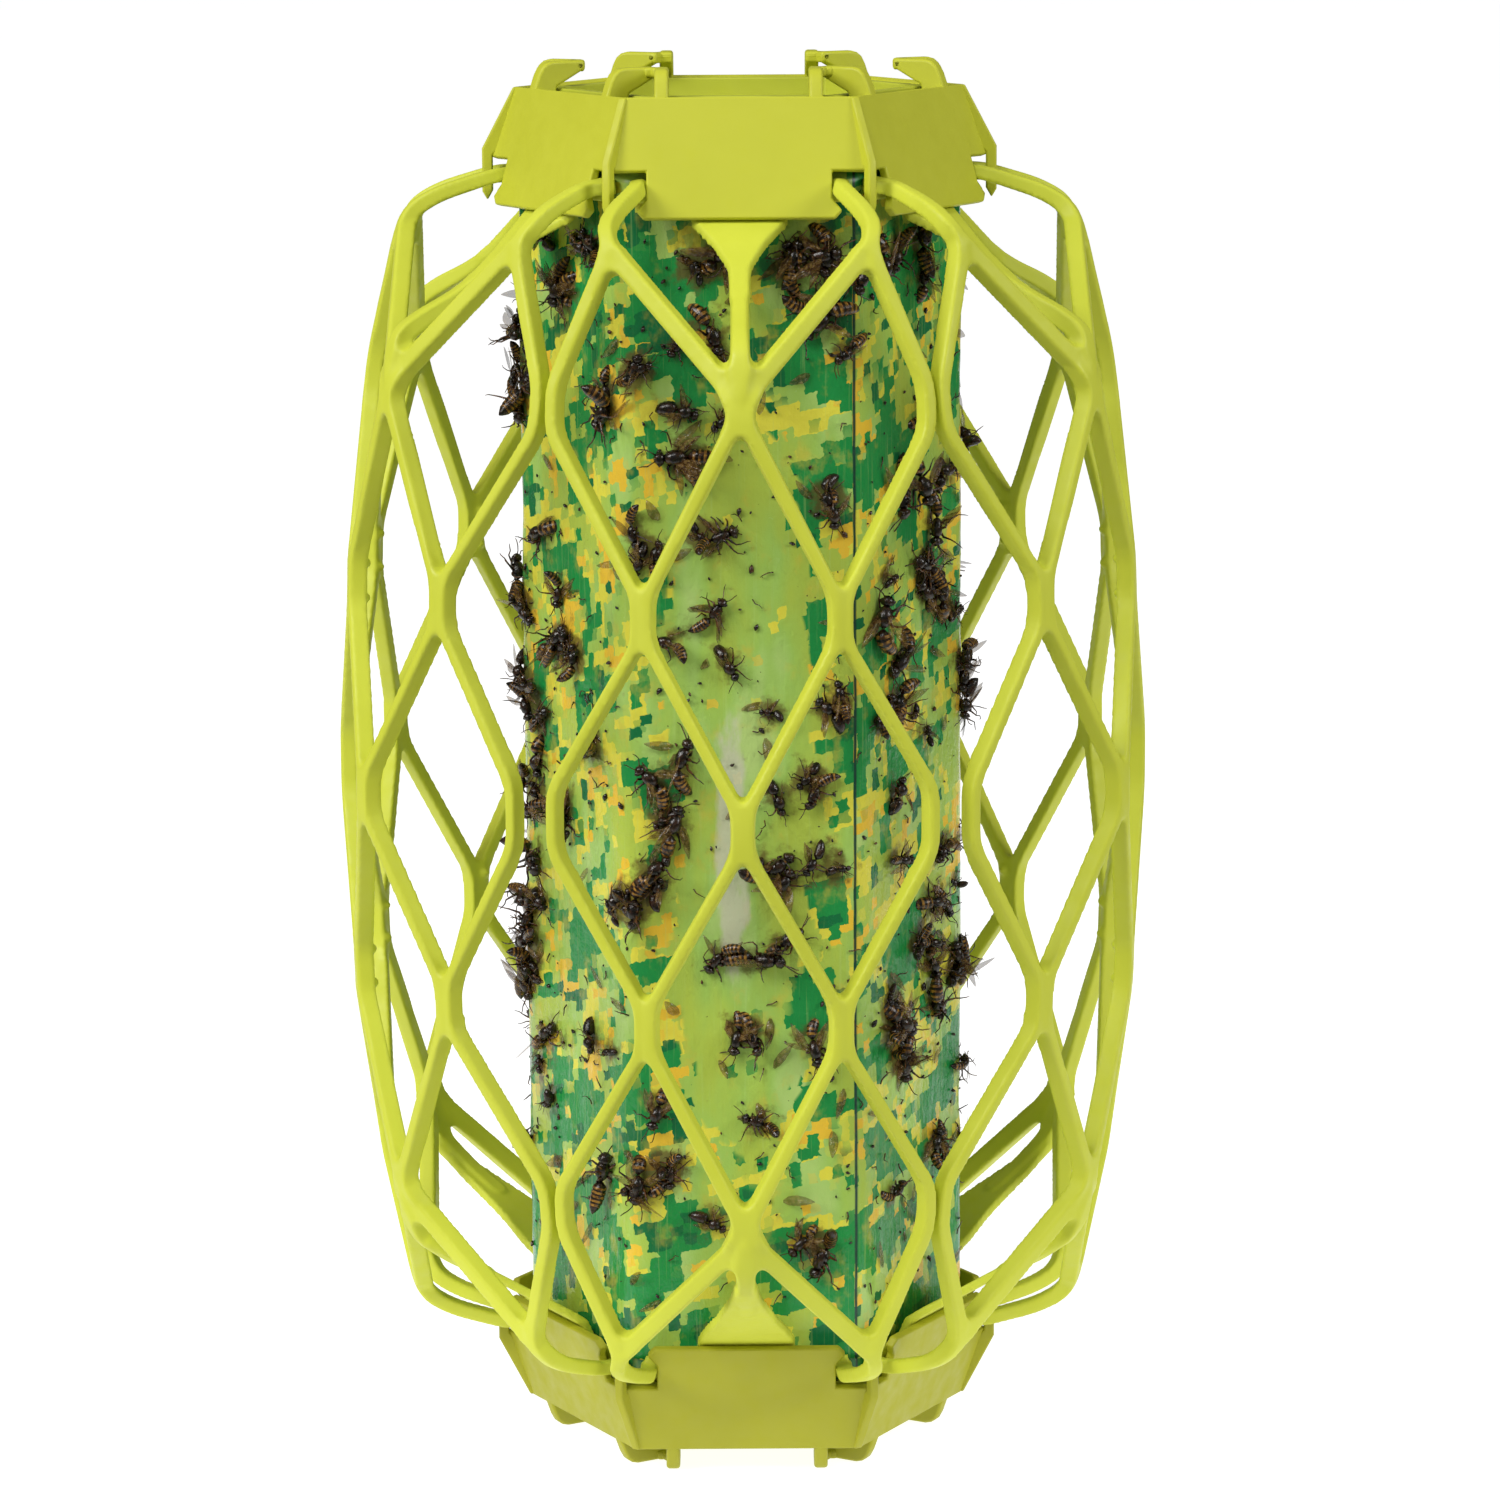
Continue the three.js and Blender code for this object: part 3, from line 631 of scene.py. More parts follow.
class Lattice:
    """Struts in one curved layer. They melt together sideways only, so their faces stay flat."""

    def __init__(self, low, high, pitch):
        self.low = np.array(low, float)
        self.pitch = pitch
        self.size = np.ceil((np.array(high) - self.low) / pitch).astype(int) + 1
        self.near = np.full(self.size, FAR, np.float32)
        self.weight = np.zeros(self.size, np.float32)
        self.rise = np.zeros(self.size, np.float32)
        self.extras = np.zeros(self.size, np.float32)

    def window(self, low, high):
        """The part of the grid between two corners, with its coordinates."""
        first = np.floor((np.array(low) - self.low) / self.pitch).astype(int)
        last = np.ceil((np.array(high) - self.low) / self.pitch).astype(int) + 1
        first, last = np.clip(first, 0, self.size), np.clip(last, 0, self.size)
        axes = [self.low[i] + self.pitch * np.arange(first[i], last[i]) for i in range(3)]
        return tuple(slice(f, l) for f, l in zip(first, last)), np.meshgrid(*axes, indexing="ij")

    def add_strand(self, run):
        near = np.full(self.size, FAR, np.float32)
        rise = np.zeros(self.size, np.float32)
        for a, b in zip(run, run[1:]):
            along = b[:3] - a[:3]
            length = np.linalg.norm(along)
            along /= length
            away = outward((a + b) / 2)
            away -= along * away.dot(along)
            away /= np.linalg.norm(away)
            side = np.cross(away, along)
            low, high = np.minimum(a, b)[:3] - REACH, np.maximum(a, b)[:3] + REACH
            part, grid = self.window(low, high)
            offsets = [values - start for values, start in zip(grid, a)]
            t = project(offsets, along)
            share = np.clip(t / length, 0, 1)
            half = (a[3] + (b[3] - a[3]) * share) / 2
            depth = (a[4] + (b[4] - a[4]) * share) / 2
            lateral = np.hypot(project(offsets, side), t - share * length) - half
            height = project(offsets, away) / depth
            closer = lateral < near[part]
            near[part] = np.where(closer, lateral, near[part])
            rise[part] = np.where(closer, height, rise[part])
        melt = np.hypot(np.maximum(FILLET - self.near, 0), np.maximum(FILLET - near, 0))
        self.near = np.maximum(FILLET, np.minimum(self.near, near)) - melt
        weight = np.exp(-1.6 * np.clip(near, -2, 9)) * (near < 8)
        self.weight += weight
        self.rise += weight * rise

    def add_extra(self, low, high, distance):
        """A separate soft shape, given by its distance(across, out, z)."""
        part, grid = self.window(low, high)
        self.extras[part] += np.exp(-SOFT * np.clip(distance(*grid), -4, 6)).astype(np.float32)

    def polygons(self):
        rise = self.rise / np.maximum(self.weight, 1e-9)
        rise[self.weight < 1e-6] = 4
        beside = self.near + DRAFT * np.clip(rise, -1, 1) + EDGE_ROUND
        above = (np.abs(rise) - 1) * HALF_DEPTH + EDGE_ROUND
        distance = np.hypot(np.maximum(beside, 0), np.maximum(above, 0))
        distance += np.minimum(np.maximum(beside, above), 0) - EDGE_ROUND
        distance = -np.log(np.exp(-SOFT * np.clip(distance, -4, 6)) + self.extras) / SOFT
        grid = openvdb.FloatGrid(GRID_BAND)
        grid.copyFromArray(np.minimum(distance, GRID_BAND).astype(np.float32))
        points, triangles, quads = grid.convertToPolygons(isovalue=0.0, adaptivity=0.0)
        return ironed(points * self.pitch + self.low, quads), quads


def ironed(points, quads):
    """Takes the grid's steps out of a mesh, and puts back the size that costs."""
    ends = np.concatenate([quads[:, [i, (i + 1) % 4]] for i in range(4)])
    count = np.bincount(ends[:, 0], minlength=len(points))[:, None]
    for share in (0.55, -0.57):
        total = np.stack([np.bincount(ends[:, 0], points[ends[:, 1], i], len(points))
                          for i in range(3)], 1)
        points = points + share * (total / count - points)
    return points


def tongue_distance(flip):
    """The thin sheet of the centre gusset, cut to its outline."""
    path, outline = TONGUES[flip]
    path = [np.array(p, float) for p in path]
    outs, halves = zip(*outline)

    def distance(x, y, z):
        best = np.full(x.shape, 99.0)
        for a, b in zip(path, path[1:]):
            along = (b - a) / np.linalg.norm(b - a)
            py, pz = y - a[0], flip * z - a[1]
            t = np.clip(py * along[0] + pz * along[1], 0, np.linalg.norm(b - a))
            best = np.minimum(best, np.hypot(py - t * along[0], pz - t * along[1]))
        sheet = best - SHEET_HALF
        edge = (np.abs(x) - np.interp(y, outs, halves)) * SHEET_SLANT
        inside = np.minimum(np.maximum(sheet, edge), 0)
        return inside + np.hypot(np.maximum(sheet, 0), np.maximum(edge, 0))

    return distance


def box_distance(centre, half):
    def distance(x, y, z):
        gaps = [np.abs(v - c) - h for v, c, h in zip((x, y, z), centre, half)]
        outside = np.sqrt(sum(np.maximum(g, 0) ** 2 for g in gaps))
        return outside + np.minimum(np.maximum(np.maximum(gaps[0], gaps[1]), gaps[2]), 0)
    return distance


def nub_centre(hand, height):
    """A place just inside the edge strand, at a height above or below mid-height."""
    heights = [row[2] for row in EDGE_STRAND][::-1]
    across, out = (np.interp(abs(height), heights, [row[i] for row in EDGE_STRAND][::-1])
                   for i in (0, 1))
    inner = 1 - 2.0 / math.hypot(across, out)
    return np.array((hand * across * inner, out * inner, height))


def ball_distance(centre, radius):
    return lambda x, y, z: np.sqrt((x - centre[0]) ** 2 + (y - centre[1]) ** 2
                                   + (z - centre[2]) ** 2) - radius


def panel_mesh(pitch):
    low, high = millimetres("guard_panel_1")
    margin = 2.5
    lattice = Lattice((low.x - margin, -high.y - margin, low.z - margin),
                      (high.x + margin, -low.y + margin, high.z + margin), pitch)
    for hand in (1, -1):
        lattice.add_strand(eased(whole_strand(EDGE_STRAND, hand)))
        lattice.add_strand(eased(whole_strand(INNER_STRAND, hand)))
    for flip in (1, -1):
        lattice.add_strand(eased([(x, y, flip * z, w, d) for x, y, z, w, d in STEMS[flip]], 2))
        low, high = (np.array(corner) * (1, 1, flip) for corner in GUSSET_BOX)
        lattice.add_extra(np.minimum(low, high), np.maximum(low, high), tongue_distance(flip))
        for hand in (1, -1):
            foot = np.array((hand * FOOT["across"], FOOT["out"], flip * FOOT["z"]))
            half = np.array(FOOT["half"])
            lattice.add_extra(foot - half - 2, foot + half + 2, box_distance(foot, half))
            for height in NUBS:
                centre = nub_centre(hand, flip * height)
                lattice.add_extra(centre - 3, centre + 3, ball_distance(centre, NUB_RADIUS))
    return lattice.polygons()


def make_guard_panels(plastic):
    points, quads = panel_mesh(0.47)
    points = np.stack([points[:, 0], -points[:, 1], points[:, 2]], 1)
    corners = points[quads]
    volume = np.einsum("ij,ij->i", corners[:, 0], np.cross(corners[:, 1], corners[:, 2])).sum()
    faces = quads[:, ::-1] if volume < 0 else quads
    for face in range(FACES):
        turn = np.array(Matrix.Rotation(face * TURN, 3, "Z"))
        panel = add_object(f"guard_panel_{face + 1}_moulding", (points @ turn.T).tolist(),
                           faces.tolist(), plastic)
        finish_piece(panel, "root", "lime_plastic", f"guard_panel_{face + 1}")


# ------------------------------------------------------------------ collars
RIM = {"out": 38.1, "z": 132.8}
SKIRT = {"out": 44.8, "z": 110.3}
WALL = 1.75
NOTCH_TOP = 119.1
TAB = {"half": 17.5, "barb": 19.4, "barb_top": 114.0, "barb_low": 111.8, "tip": 18.0}
FIN = {"thick": 1.8, "out": 50.4, "inner": 48.3, "shoulder": 120.7, "tip": 110.6}
CLAW = {"across": 14.6, "thick": 2.7, "root": 33.0, "tip": 26.8, "top": 137.8, "edge": 0.6,
        "roof": (2.2, 2.3, 1.35, 3.4)}  # deep, thick, and its reach inwards and to the corner


def collar_out(z):
    return RIM["out"] + (RIM["z"] - z) * (SKIRT["out"] - RIM["out"]) / (RIM["z"] - SKIRT["z"])


def collar_plates():
    """The six flared plates with their barbed tabs, as one solid wall."""
    half = math.tan(TURN / 2)
    right = [(TAB["half"], NOTCH_TOP), (TAB["half"], TAB["barb_top"]),
             (TAB["barb"], TAB["barb_low"]), (TAB["tip"], SKIRT["z"])]
    outline = [(-collar_out(RIM["z"]) * half, RIM["z"]), (-collar_out(NOTCH_TOP) * half, NOTCH_TOP)]
    outline += [(-x, z) for x, z in right] + right[::-1]
    outline += [(collar_out(NOTCH_TOP) * half, NOTCH_TOP), (collar_out(RIM["z"]) * half, RIM["z"])]
    form = bmesh.new()
    for face in range(FACES):
        turn = Matrix.Rotation(face * TURN, 4, "Z")
        form.faces.new([form.verts.new(turn @ Vector((x, -collar_out(z), z))) for x, z in outline])
    bmesh.ops.remove_doubles(form, verts=form.verts, dist=0.01)
    mesh = bpy.data.meshes.new("plates")
    form.to_mesh(mesh)
    form.free()
    plates = new_object("plates", mesh)
    wall = plates.modifiers.new("wall", "SOLIDIFY")
    wall.thickness = WALL
    wall.offset = -1
    wall.use_even_offset = True
    bake_modifiers(plates)
    points = [v.co.copy() for v in plates.data.vertices]
    faces = [list(p.vertices) for p in plates.data.polygons]
    bpy.data.objects.remove(plates)
    return points, faces


def fin_outline():
    return [(43.2, RIM["z"] - 0.4), (44.1, RIM["z"] - 0.1), (FIN["out"], FIN["shoulder"]),
            (FIN["out"], FIN["tip"] + 1.7), (FIN["out"] - 1.0, FIN["tip"]),
            (FIN["inner"], FIN["tip"] + 1.9), (FIN["inner"], NOTCH_TOP + 0.4),
            (47.4, NOTCH_TOP + 1.2)]


def claw_outline():
    """Up from the plate on its own slope, over a rounded shoulder, and in to the tip."""
    top, tip = CLAW["top"], CLAW["tip"]
    return [(38.9, 127.6), (38.2, 132.2), (37.1, top - 2.6), (36.3, top - 1.15), (35.3, top - 0.35),
            (34.0, top), (tip + 0.9, top), (tip + 0.25, top - 0.3), (tip, top - 0.9),
            (tip + 0.1, top - 1.6), (tip + 0.8, top - 2.1), (31.0, top - 3.9),
            (CLAW["root"], RIM["z"] + 0.1), (CLAW["root"] + 0.5, 130.6)]


def make_claws(over):
    shells = Shells()
    top, tip = CLAW["top"], CLAW["tip"]
    deep, thick, near, far = CLAW["roof"]
    for face in range(FACES):
        turn = face * TURN
        for hand in (-1, 1):
            across = hand * CLAW["across"]
            shells.prism(claw_outline(), CLAW["thick"], over @ side_plane(across, turn))
            roof = [(tip + 0.05, top - thick), (tip + deep, top - thick * 0.8),
                    (tip + deep, top - 0.03), (tip + 0.05, top - 0.03)]
            middle = across + hand * (far - near) / 2
            shells.prism(roof, near + far, over @ side_plane(middle, turn))
    claws = shells.build("claws")
    soften_edges(claws, CLAW["edge"])
    return claws


def merge(piece, other):
    """Adds another object's mesh to a piece, and drops that object."""
    form = bmesh.new()
    form.from_mesh(piece.data)
    form.from_mesh(other.data)
    form.to_mesh(piece.data)
    form.free()
    bpy.data.objects.remove(other)


def turned_to(end):
    """Takes a shape of the top end to the top or the bottom one."""
    return Matrix.Rotation(math.pi if end == "bottom" else 0, 4, "X")


def make_collar(end, plastic):
    shells = Shells()
    over = turned_to(end)
    points, faces = collar_plates()
    shells.add(points, faces, over)
    for face in range(FACES):
        shells.prism(fin_outline(), FIN["thick"], over @ side_plane(0, face * TURN + TURN / 2))
    collar = shells.build(f"{end}_collar_moulding", plastic)
    soften_edges(collar, 0.42)
    merge(collar, make_claws(over))
    finish_piece(collar, "root", "lime_plastic", f"{end}_collar")


# ------------------------------------------------------------------ end caps, bail and lure
CAP = {"out": 38.0, "low": 118.8, "top": 120.4,
       "ring_out": 32.2, "ring_in": 30.0, "ring_top": 132.5}
PLUG = {"out": 35.2, "in": 33.2, "low": 112.0}
BAIL = {"half": 16.0, "wire": 1.2, "reach": 24.0, "z": 124.4, "end": 20.6}
EAR = {"near": 17.4, "thick": 2.6, "half": 3.4, "bore": 1.55}
CUP = {"flange": 13.6, "out": 10.8, "inner": 9.2, "low": 96.0, "floor": 1.6, "sits": 120.7}
LID = {"out": 12.8, "low": 122.7, "top": 124.3,
       "skirt_out": 8.8, "skirt_in": 7.6, "skirt_low": 115.5}
# the lid's lugs, and the tracks in the cup that they turn in
LUG = {"out": 10.4, "inner": 8.4, "levels": (116.4, 118), "half": 0.12}
TRACK = {"out": 11.8, "inner": 8.6, "levels": (116.1, 118.3), "play": 0.17}


def make_end_cap(end, plastic, hole):
    """A plug, a disc and an upstanding ring, lofted as one wall round the axis."""
    shells = Shells()
    profile = [(PLUG["out"], 5, PLUG["low"]), (PLUG["out"], 5, CAP["low"]),
               (CAP["out"], 6, CAP["low"]), (CAP["out"], 6, CAP["top"]),
               (CAP["ring_out"], 1.2, CAP["top"]), (CAP["ring_out"], 1.2, CAP["ring_top"]),
               (CAP["ring_in"], 0.8, CAP["ring_top"]), (CAP["ring_in"], 0.8, CAP["top"]),
               (hole, hole - 0.01, CAP["top"]), (hole, hole - 0.01, CAP["low"]),
               (PLUG["in"], 4, CAP["low"]), (PLUG["in"], 4, PLUG["low"])]
    shells.loft([six_sided(*row) for row in profile], matrix=turned_to(end))
    if end == "top":
        for hand in (-1, 1):
            shells.loft(ear_loops(hand))
    cap = shells.build(f"{end}_end_cap_moulding", plastic)
    soften_edges(cap, 0.35)
    finish_piece(cap, "root", "lime_shade", f"{end}_end_cap")


def ear_loops(hand):
    """An upright ear with a round head and a bore, as loops round the bore."""
    foot = BAIL["z"] - CAP["top"] + 0.4
    outer, inner = [], []
    for angle in round_angles(48):
        c, s = math.cos(angle), math.sin(angle)
        reach = EAR["half"]
        if s < 0:
            reach = min(EAR["half"] / max(abs(c), 1e-6), foot / -s)
        outer.append((reach * c, BAIL["z"] + reach * s))
        inner.append((EAR["bore"] * c, BAIL["z"] + EAR["bore"] * s))
    near, far = hand * EAR["near"], hand * (EAR["near"] + EAR["thick"])
    return [[(x, y, z) for y, z in loop]
            for x, loop in ((near, outer), (far, outer), (far, inner), (near, inner))]


def make_bail(wire):
    bend = 2.4
    bow = BAIL["reach"] - BAIL["half"]
    right = [(BAIL["end"], 0), (BAIL["half"] + bend + 1, 0), (BAIL["half"] + bend, 0)]
    for angle in np.linspace(0.15, math.pi / 2, 6):
        right.append((BAIL["half"] + bend - bend * math.sin(angle), bend * math.cos(angle) - bend))
    right.append((BAIL["half"], -bow * 0.6))
    for angle in np.linspace(0, math.pi / 2, 12, endpoint=False):
        right.append((BAIL["half"] * math.cos(angle), -bow - BAIL["half"] * math.sin(angle)))
    loop = right + [(0, -BAIL["reach"])] + [(-x, y) for x, y in right[::-1]]
    shells = Shells()
    shells.tube([(x, y, BAIL["z"]) for x, y in loop], [BAIL["wire"]] * len(loop), 20)
    bail = shells.build("hanger_bail_wire", wire)
    soften_edges(bail, 0.25, 2, 60)
    finish_piece(bail, "bail", "wire", "hanger_bail")


def circle(radius, z):
    return six_sided(radius, radius, z)


def arc_block(there, back, start, end, levels, count):
    """Loops of a block that runs along an arc at one radius and back at another."""
    arc = np.linspace(start, end, count)
    return [[(there * math.cos(a), there * math.sin(a), z) for a in arc]
            + [(back * math.cos(a), back * math.sin(a), z) for a in arc[::-1]] for z in levels]


def make_lure_cup(plastic):
    shells = Shells()
    profile = [(CUP["out"], CUP["low"]), (CUP["out"], CUP["sits"]), (CUP["flange"], CUP["sits"]),
               (CUP["flange"], CUP["sits"] + 1.6), (CUP["inner"], CUP["sits"] + 1.6),
               (CUP["inner"], CUP["low"] + CUP["floor"])]
    shells.loft([circle(*row) for row in profile], closed=False)
    cup = shells.build("lure_cup_shell", plastic)
    cutters = Shells()
    for vent in range(4):
        turn = Matrix.Rotation(math.pi / 4 + vent * math.pi / 2, 4, "Z")
        slot = [(-2.6, 100), (2.6, 100), (2.6, 110), (-2.6, 110)]
        upright = Matrix(((1, 0, 0, 0), (0, 0, -1, -10), (0, 1, 0, 0), (0, 0, 0, 1)))
        cutters.prism(slot, 6, turn @ upright)
    for start in (0, math.pi):
        ends = start - TRACK["play"], start + TURN + TRACK["play"]
        cutters.loft(arc_block(TRACK["out"], TRACK["inner"], *ends, TRACK["levels"], 12),
                     closed=False)
    cut_away(cup, cutters.build("lure_cup_cuts"))
    soften_edges(cup, 0.2, 2, 50)
    finish_piece(cup, "root", "lime_shade", "lure_cup")


def cut_away(piece, cutter):
    cut = piece.modifiers.new("cut", "BOOLEAN")
    cut.operation = "DIFFERENCE"
    cut.solver = "EXACT"
    cut.object = cutter
    bake_modifiers(piece)
    bpy.data.objects.remove(cutter)


def make_lure_lid(plastic):
    shells = Shells()
    profile = [(LID["skirt_in"], LID["low"]), (LID["skirt_in"], LID["skirt_low"]),
               (LID["skirt_out"], LID["skirt_low"]), (LID["skirt_out"], LID["low"]),
               (LID["out"], LID["low"]), (LID["out"], LID["top"])]
    shells.loft([circle(*row) for row in profile], closed=False)
    bar = [(-8.4, LID["top"] - 0.3), (8.4, LID["top"] - 0.3), (8.4, LID["top"] + 2.2),
           (7.2, LID["top"] + 3.4), (-7.2, LID["top"] + 3.4), (-8.4, LID["top"] + 2.2)]
    shells.prism(bar, 2.4, side_plane())
    for turn in (0, math.pi):
        ends = turn - LUG["half"], turn + LUG["half"]
        shells.loft(arc_block(LUG["inner"], LUG["out"], *ends, LUG["levels"], 4), closed=False)
    lid = shells.build("lure_lid_shell", plastic)
    cutters = Shells()
    for x in (-4.6, 4.6):
        vent = [[(x + 1.6 * math.cos(a), 1.6 * math.sin(a), z) for a in round_angles(20)]
                for z in (121, 127)]
        cutters.loft(vent, closed=False)
    cut_away(lid, cutters.build("lure_lid_cuts"))
    soften_edges(lid, 0.3, 2, 40)
    finish_piece(lid, "lid", "lime_shade", "lure_lid")


def make_septum(rubber):
    shells = Shells()
    profile = [(5.2, 98), (5.8, 103), (6.2, 104), (6.2, 111.5), (4.2, 111.5), (3.2, 107.5)]
    shells.loft([circle(*row) for row in profile], closed=False)
    septum = shells.build("lure_septum_plug", rubber)
    soften_edges(septum, 0.4, 3, 25)
    finish_piece(septum, "root", "lure_rubber", "lure_septum")


# ------------------------------------------------------------------ film and glue
FILM = {"out": 38.1, "round": 6.6, "thick": 0.3, "half": 118.5}
GLUE = {"out": 38.7, "round": 7.2, "thick": 0.3, "half": 114.0}
SEAM_ACROSS = 21.5  # the film's overlap, by the front face's right corner


def hexagon_path(apothem, rounding, pitch):
    """Points, outward normals and distances round a rounded hexagon, from the seam."""
    flat = 2 * (apothem - rounding) * math.tan(TURN / 2)
    arc = rounding * TURN
    whole = FACES * (flat + arc)
    count = int(whole / pitch)
    start = min(SEAM_ACROSS, flat / 2 + arc)
    path = []
    for i in range(count):
        run = i * whole / count
        place = (run + start + flat / 2) % whole
        face = int(place // (flat + arc))
        rest = place - face * (flat + arc)
        if rest <= flat:
            point, normal = Vector((rest - flat / 2, -apothem, 0)), Vector((0, -1, 0))
        else:
            angle = (rest - flat) / rounding
            normal = Vector((math.sin(angle), -math.cos(angle), 0))
            point = Vector((flat / 2, -(apothem - rounding), 0)) + normal * rounding
        turn = Matrix.Rotation(face * TURN, 3, "Z")
        path.append((turn @ point, turn @ normal, run))
    return path, whole


def sleeve(name, spec, material, pitch, ripple, spots=()):
    """A thin rippled sleeve with its outer face mapped for the print, swollen at the spots."""
    spots = np.array([tuple(spot) for spot in spots]).reshape(-1, 3)
    path, whole = hexagon_path(spec["out"], spec["round"], pitch)
    rows = int(2 * spec["half"] / pitch)
    count = len(path)
    points, faces, maps, stains = [], [], [], []
    for inside in (False, True):
        for row in range(rows + 1):
            level = -1 + 2 * row / rows
            for point, normal, run in path:
                z = level * spec["half"]
                sway = noise.noise(Vector((point.x * 0.09, point.y * 0.09, z * 0.035)))
                close = Vector((point.x * 0.5, point.y * 0.5, z * 0.22))
                fine = noise.noise(close + Vector((9, 3, 5)))
                gaps = ((spots - np.array((point.x, point.y, z))) ** 2).sum(1)
                stains.append(float(min(1.3, np.exp(-gaps / 13).sum())))
                lift = -spec["thick"]
                if not inside:
                    lift = ripple * (0.6 * sway + 0.4 * fine - 0.4 + 0.5 * stains[-1])
                edge = noise.noise(Vector((point.x * 0.2, point.y * 0.2, level * 7)))
                z += edge * 3 * ripple * level ** 9
                points.append(point + normal * lift + Vector((0, 0, z)))
                maps.append((run / 100, z / 100))
    layer = (rows + 1) * count
    uvs = []

    def quad(last, *corners):
        """Adds a face. In the last column, points on the seam take the film's far edge."""
        faces.append(corners)
        for corner in corners:
            u, v = maps[corner]
            uvs.append((u + whole / 100 if last and u == 0 else u, v))

    top = rows * count
    for row in range(rows):
        for i in range(count):
            j = (i + 1) % count
            a, b = row * count + i, row * count + j
            quad(j == 0, a, b, b + count, a + count)
            quad(j == 0, layer + a + count, layer + b + count, layer + b, layer + a)
    for i in range(count):
        j = (i + 1) % count
        quad(j == 0, i, layer + i, layer + j, j)
        quad(j == 0, top + i, top + j, layer + top + j, layer + top + i)
    piece = add_object(name, points, faces, material)
    piece.data.attributes.new("stain", "FLOAT", "POINT").data.foreach_set("value", stains)
    placed = np.array(uvs) + (SEAM_ACROSS / 100, 0)
    piece.data.uv_layers.new(name="film").data.foreach_set("uv", placed.ravel().tolist())
    return piece


def make_film(spots):
    step = 2.4
    film = sleeve("printed_film_wrap", FILM, printed_film("film_print", False), step, 0.0)
    finish_piece(film, "root", "printed_film", "printed_film")
    step = 1.6
    glue = sleeve("sticky_glue_coat", GLUE, printed_film("glued_print", True), step, 0.45, spots)
    finish_piece(glue, "root", "sticky_coating", "sticky_coating")


# ------------------------------------------------------------------ caught insects
# where they lie on each face, as (across, z, how many), from the front face anticlockwise
SWARMS = [
    [(-12, 103, 3), (9, 105, 3), (17, 100, 2), (-17, 86, 3), (-6, 84, 2), (16, 86, 2), (-12, 68, 3),
     (-4, 73, 1), (15, 57, 2), (-18, 49, 3), (0, 46, 2), (-4, 34, 1), (-14, 28, 1), (0, 19, 2),
     (14, 15, 2), (-13, 4, 1), (13, 1, 3), (-17, -6, 3), (5, -14, 2), (9, -20, 3), (-18, -20, 3),
     (-6, -33, 1), (8, -34, 2), (11, -50, 1), (-5, -50, 2), (-16, -62, 1), (3, -68, 1),
     (-19, -79, 4), (-6, -86, 1), (13, -88, 2)],
    [(-14, 100, 4), (4, 96, 2), (14, 90, 1), (5, 70, 1), (-4, 56, 2), (10, 52, 3), (3, 36, 3),
     (12, 30, 2), (-12, 32, 2), (-8, 16, 4), (16, 14, 3), (4, 8, 2), (-10, -12, 2), (8, -18, 2),
     (16, -24, 2), (2, -32, 3), (18, -38, 3), (-12, -47, 4), (-4, -56, 4), (4, -44, 2),
     (12, -78, 3), (-8, -84, 1), (20, -64, 1)],
    [(-12, 92, 3), (6, 84, 2), (-18, 62, 2), (10, 50, 3), (-6, 34, 3), (14, 20, 2), (-16, 4, 2),
     (2, -8, 3), (12, -30, 3), (-8, -44, 2), (6, -66, 3), (-14, -82, 2), (14, -90, 1)],
    [(10, 96, 3), (-8, 88, 2), (16, 66, 2), (-14, 54, 2), (4, 40, 3), (-4, 18, 2), (14, 2, 3),
     (-16, -12, 3), (2, -28, 2), (-10, -52, 3), (12, -60, 2), (0, -80, 3)],
    [(-4, 98, 2), (14, 90, 2), (-16, 76, 3), (6, 60, 2), (-10, 42, 2), (12, 30, 3), (-2, 10, 2),
     (-18, -4, 2), (8, -22, 3), (-6, -40, 3), (14, -58, 2), (-12, -74, 2), (4, -92, 2)],
    [(0, 95, 4), (12, 100, 2), (-19, 82, 4), (16, 76, 2), (-20, 72, 2), (-8, 48, 1), (-2, 38, 1),
     (-20, 33, 3), (-6, 24, 3), (4, 22, 2), (-20, 14, 3), (-14, 8, 3), (11, 6, 2), (-15, -6, 3),
     (-4, -10, 2), (-19, -20, 1), (16, -22, 3), (-14, -33, 4), (-20, -42, 4), (-12, -54, 1),
     (9, -57, 2), (-8, -64, 2), (-20, -80, 1), (12, -78, 1)],
]
GLUE_OUT = 38.8  # the height of the glue's face over the axis
WASP_SHARE = 0.68  # the rest are flies
SCRAPS = 260  # loose legs, wings and crumbs on each face
FACE_HALF = 21
TOP_INSECT = 104
SCRAP_END = 106
CHITIN, BAND, LIMB, WING = range(4)


def insect_paints():
    paints = []
    for name, dark, light, wet in (
            ("insect_chitin", (0.0035, 0.002, 0.0015), (0.035, 0.013, 0.006), 0.20),
            ("insect_band", (0.06, 0.022, 0.006), (0.38, 0.19, 0.030), 0.24),
            ("insect_limb", (0.010, 0.005, 0.003), (0.12, 0.045, 0.012), 0.26)):
        paint = Paint(name)
        place = paint.object_place()
        spots = paint.noise(place, 900, 3, 0.6)
        paint.feed("Base Color", paint.mix(paint.step(spots, 0.40, 0.66), dark, light))
        paint.feed("Normal", paint.bump(paint.noise(place, 3200, 2), 0.5, 0.00012))
        paint.set(Roughness=wet)
        paints.append(paint.material)
    paint = Paint("insect_wing")
    veins = paint.noise(paint.object_place(), 1400, 2)
    paint.feed("Base Color", paint.mix(paint.step(veins, 0.45, 0.6), (0.09, 0.040, 0.010),
                                       (0.30, 0.18, 0.060)))
    paint.set(Roughness=0.16, Alpha=0.38)
    return [*paints, paint.material]


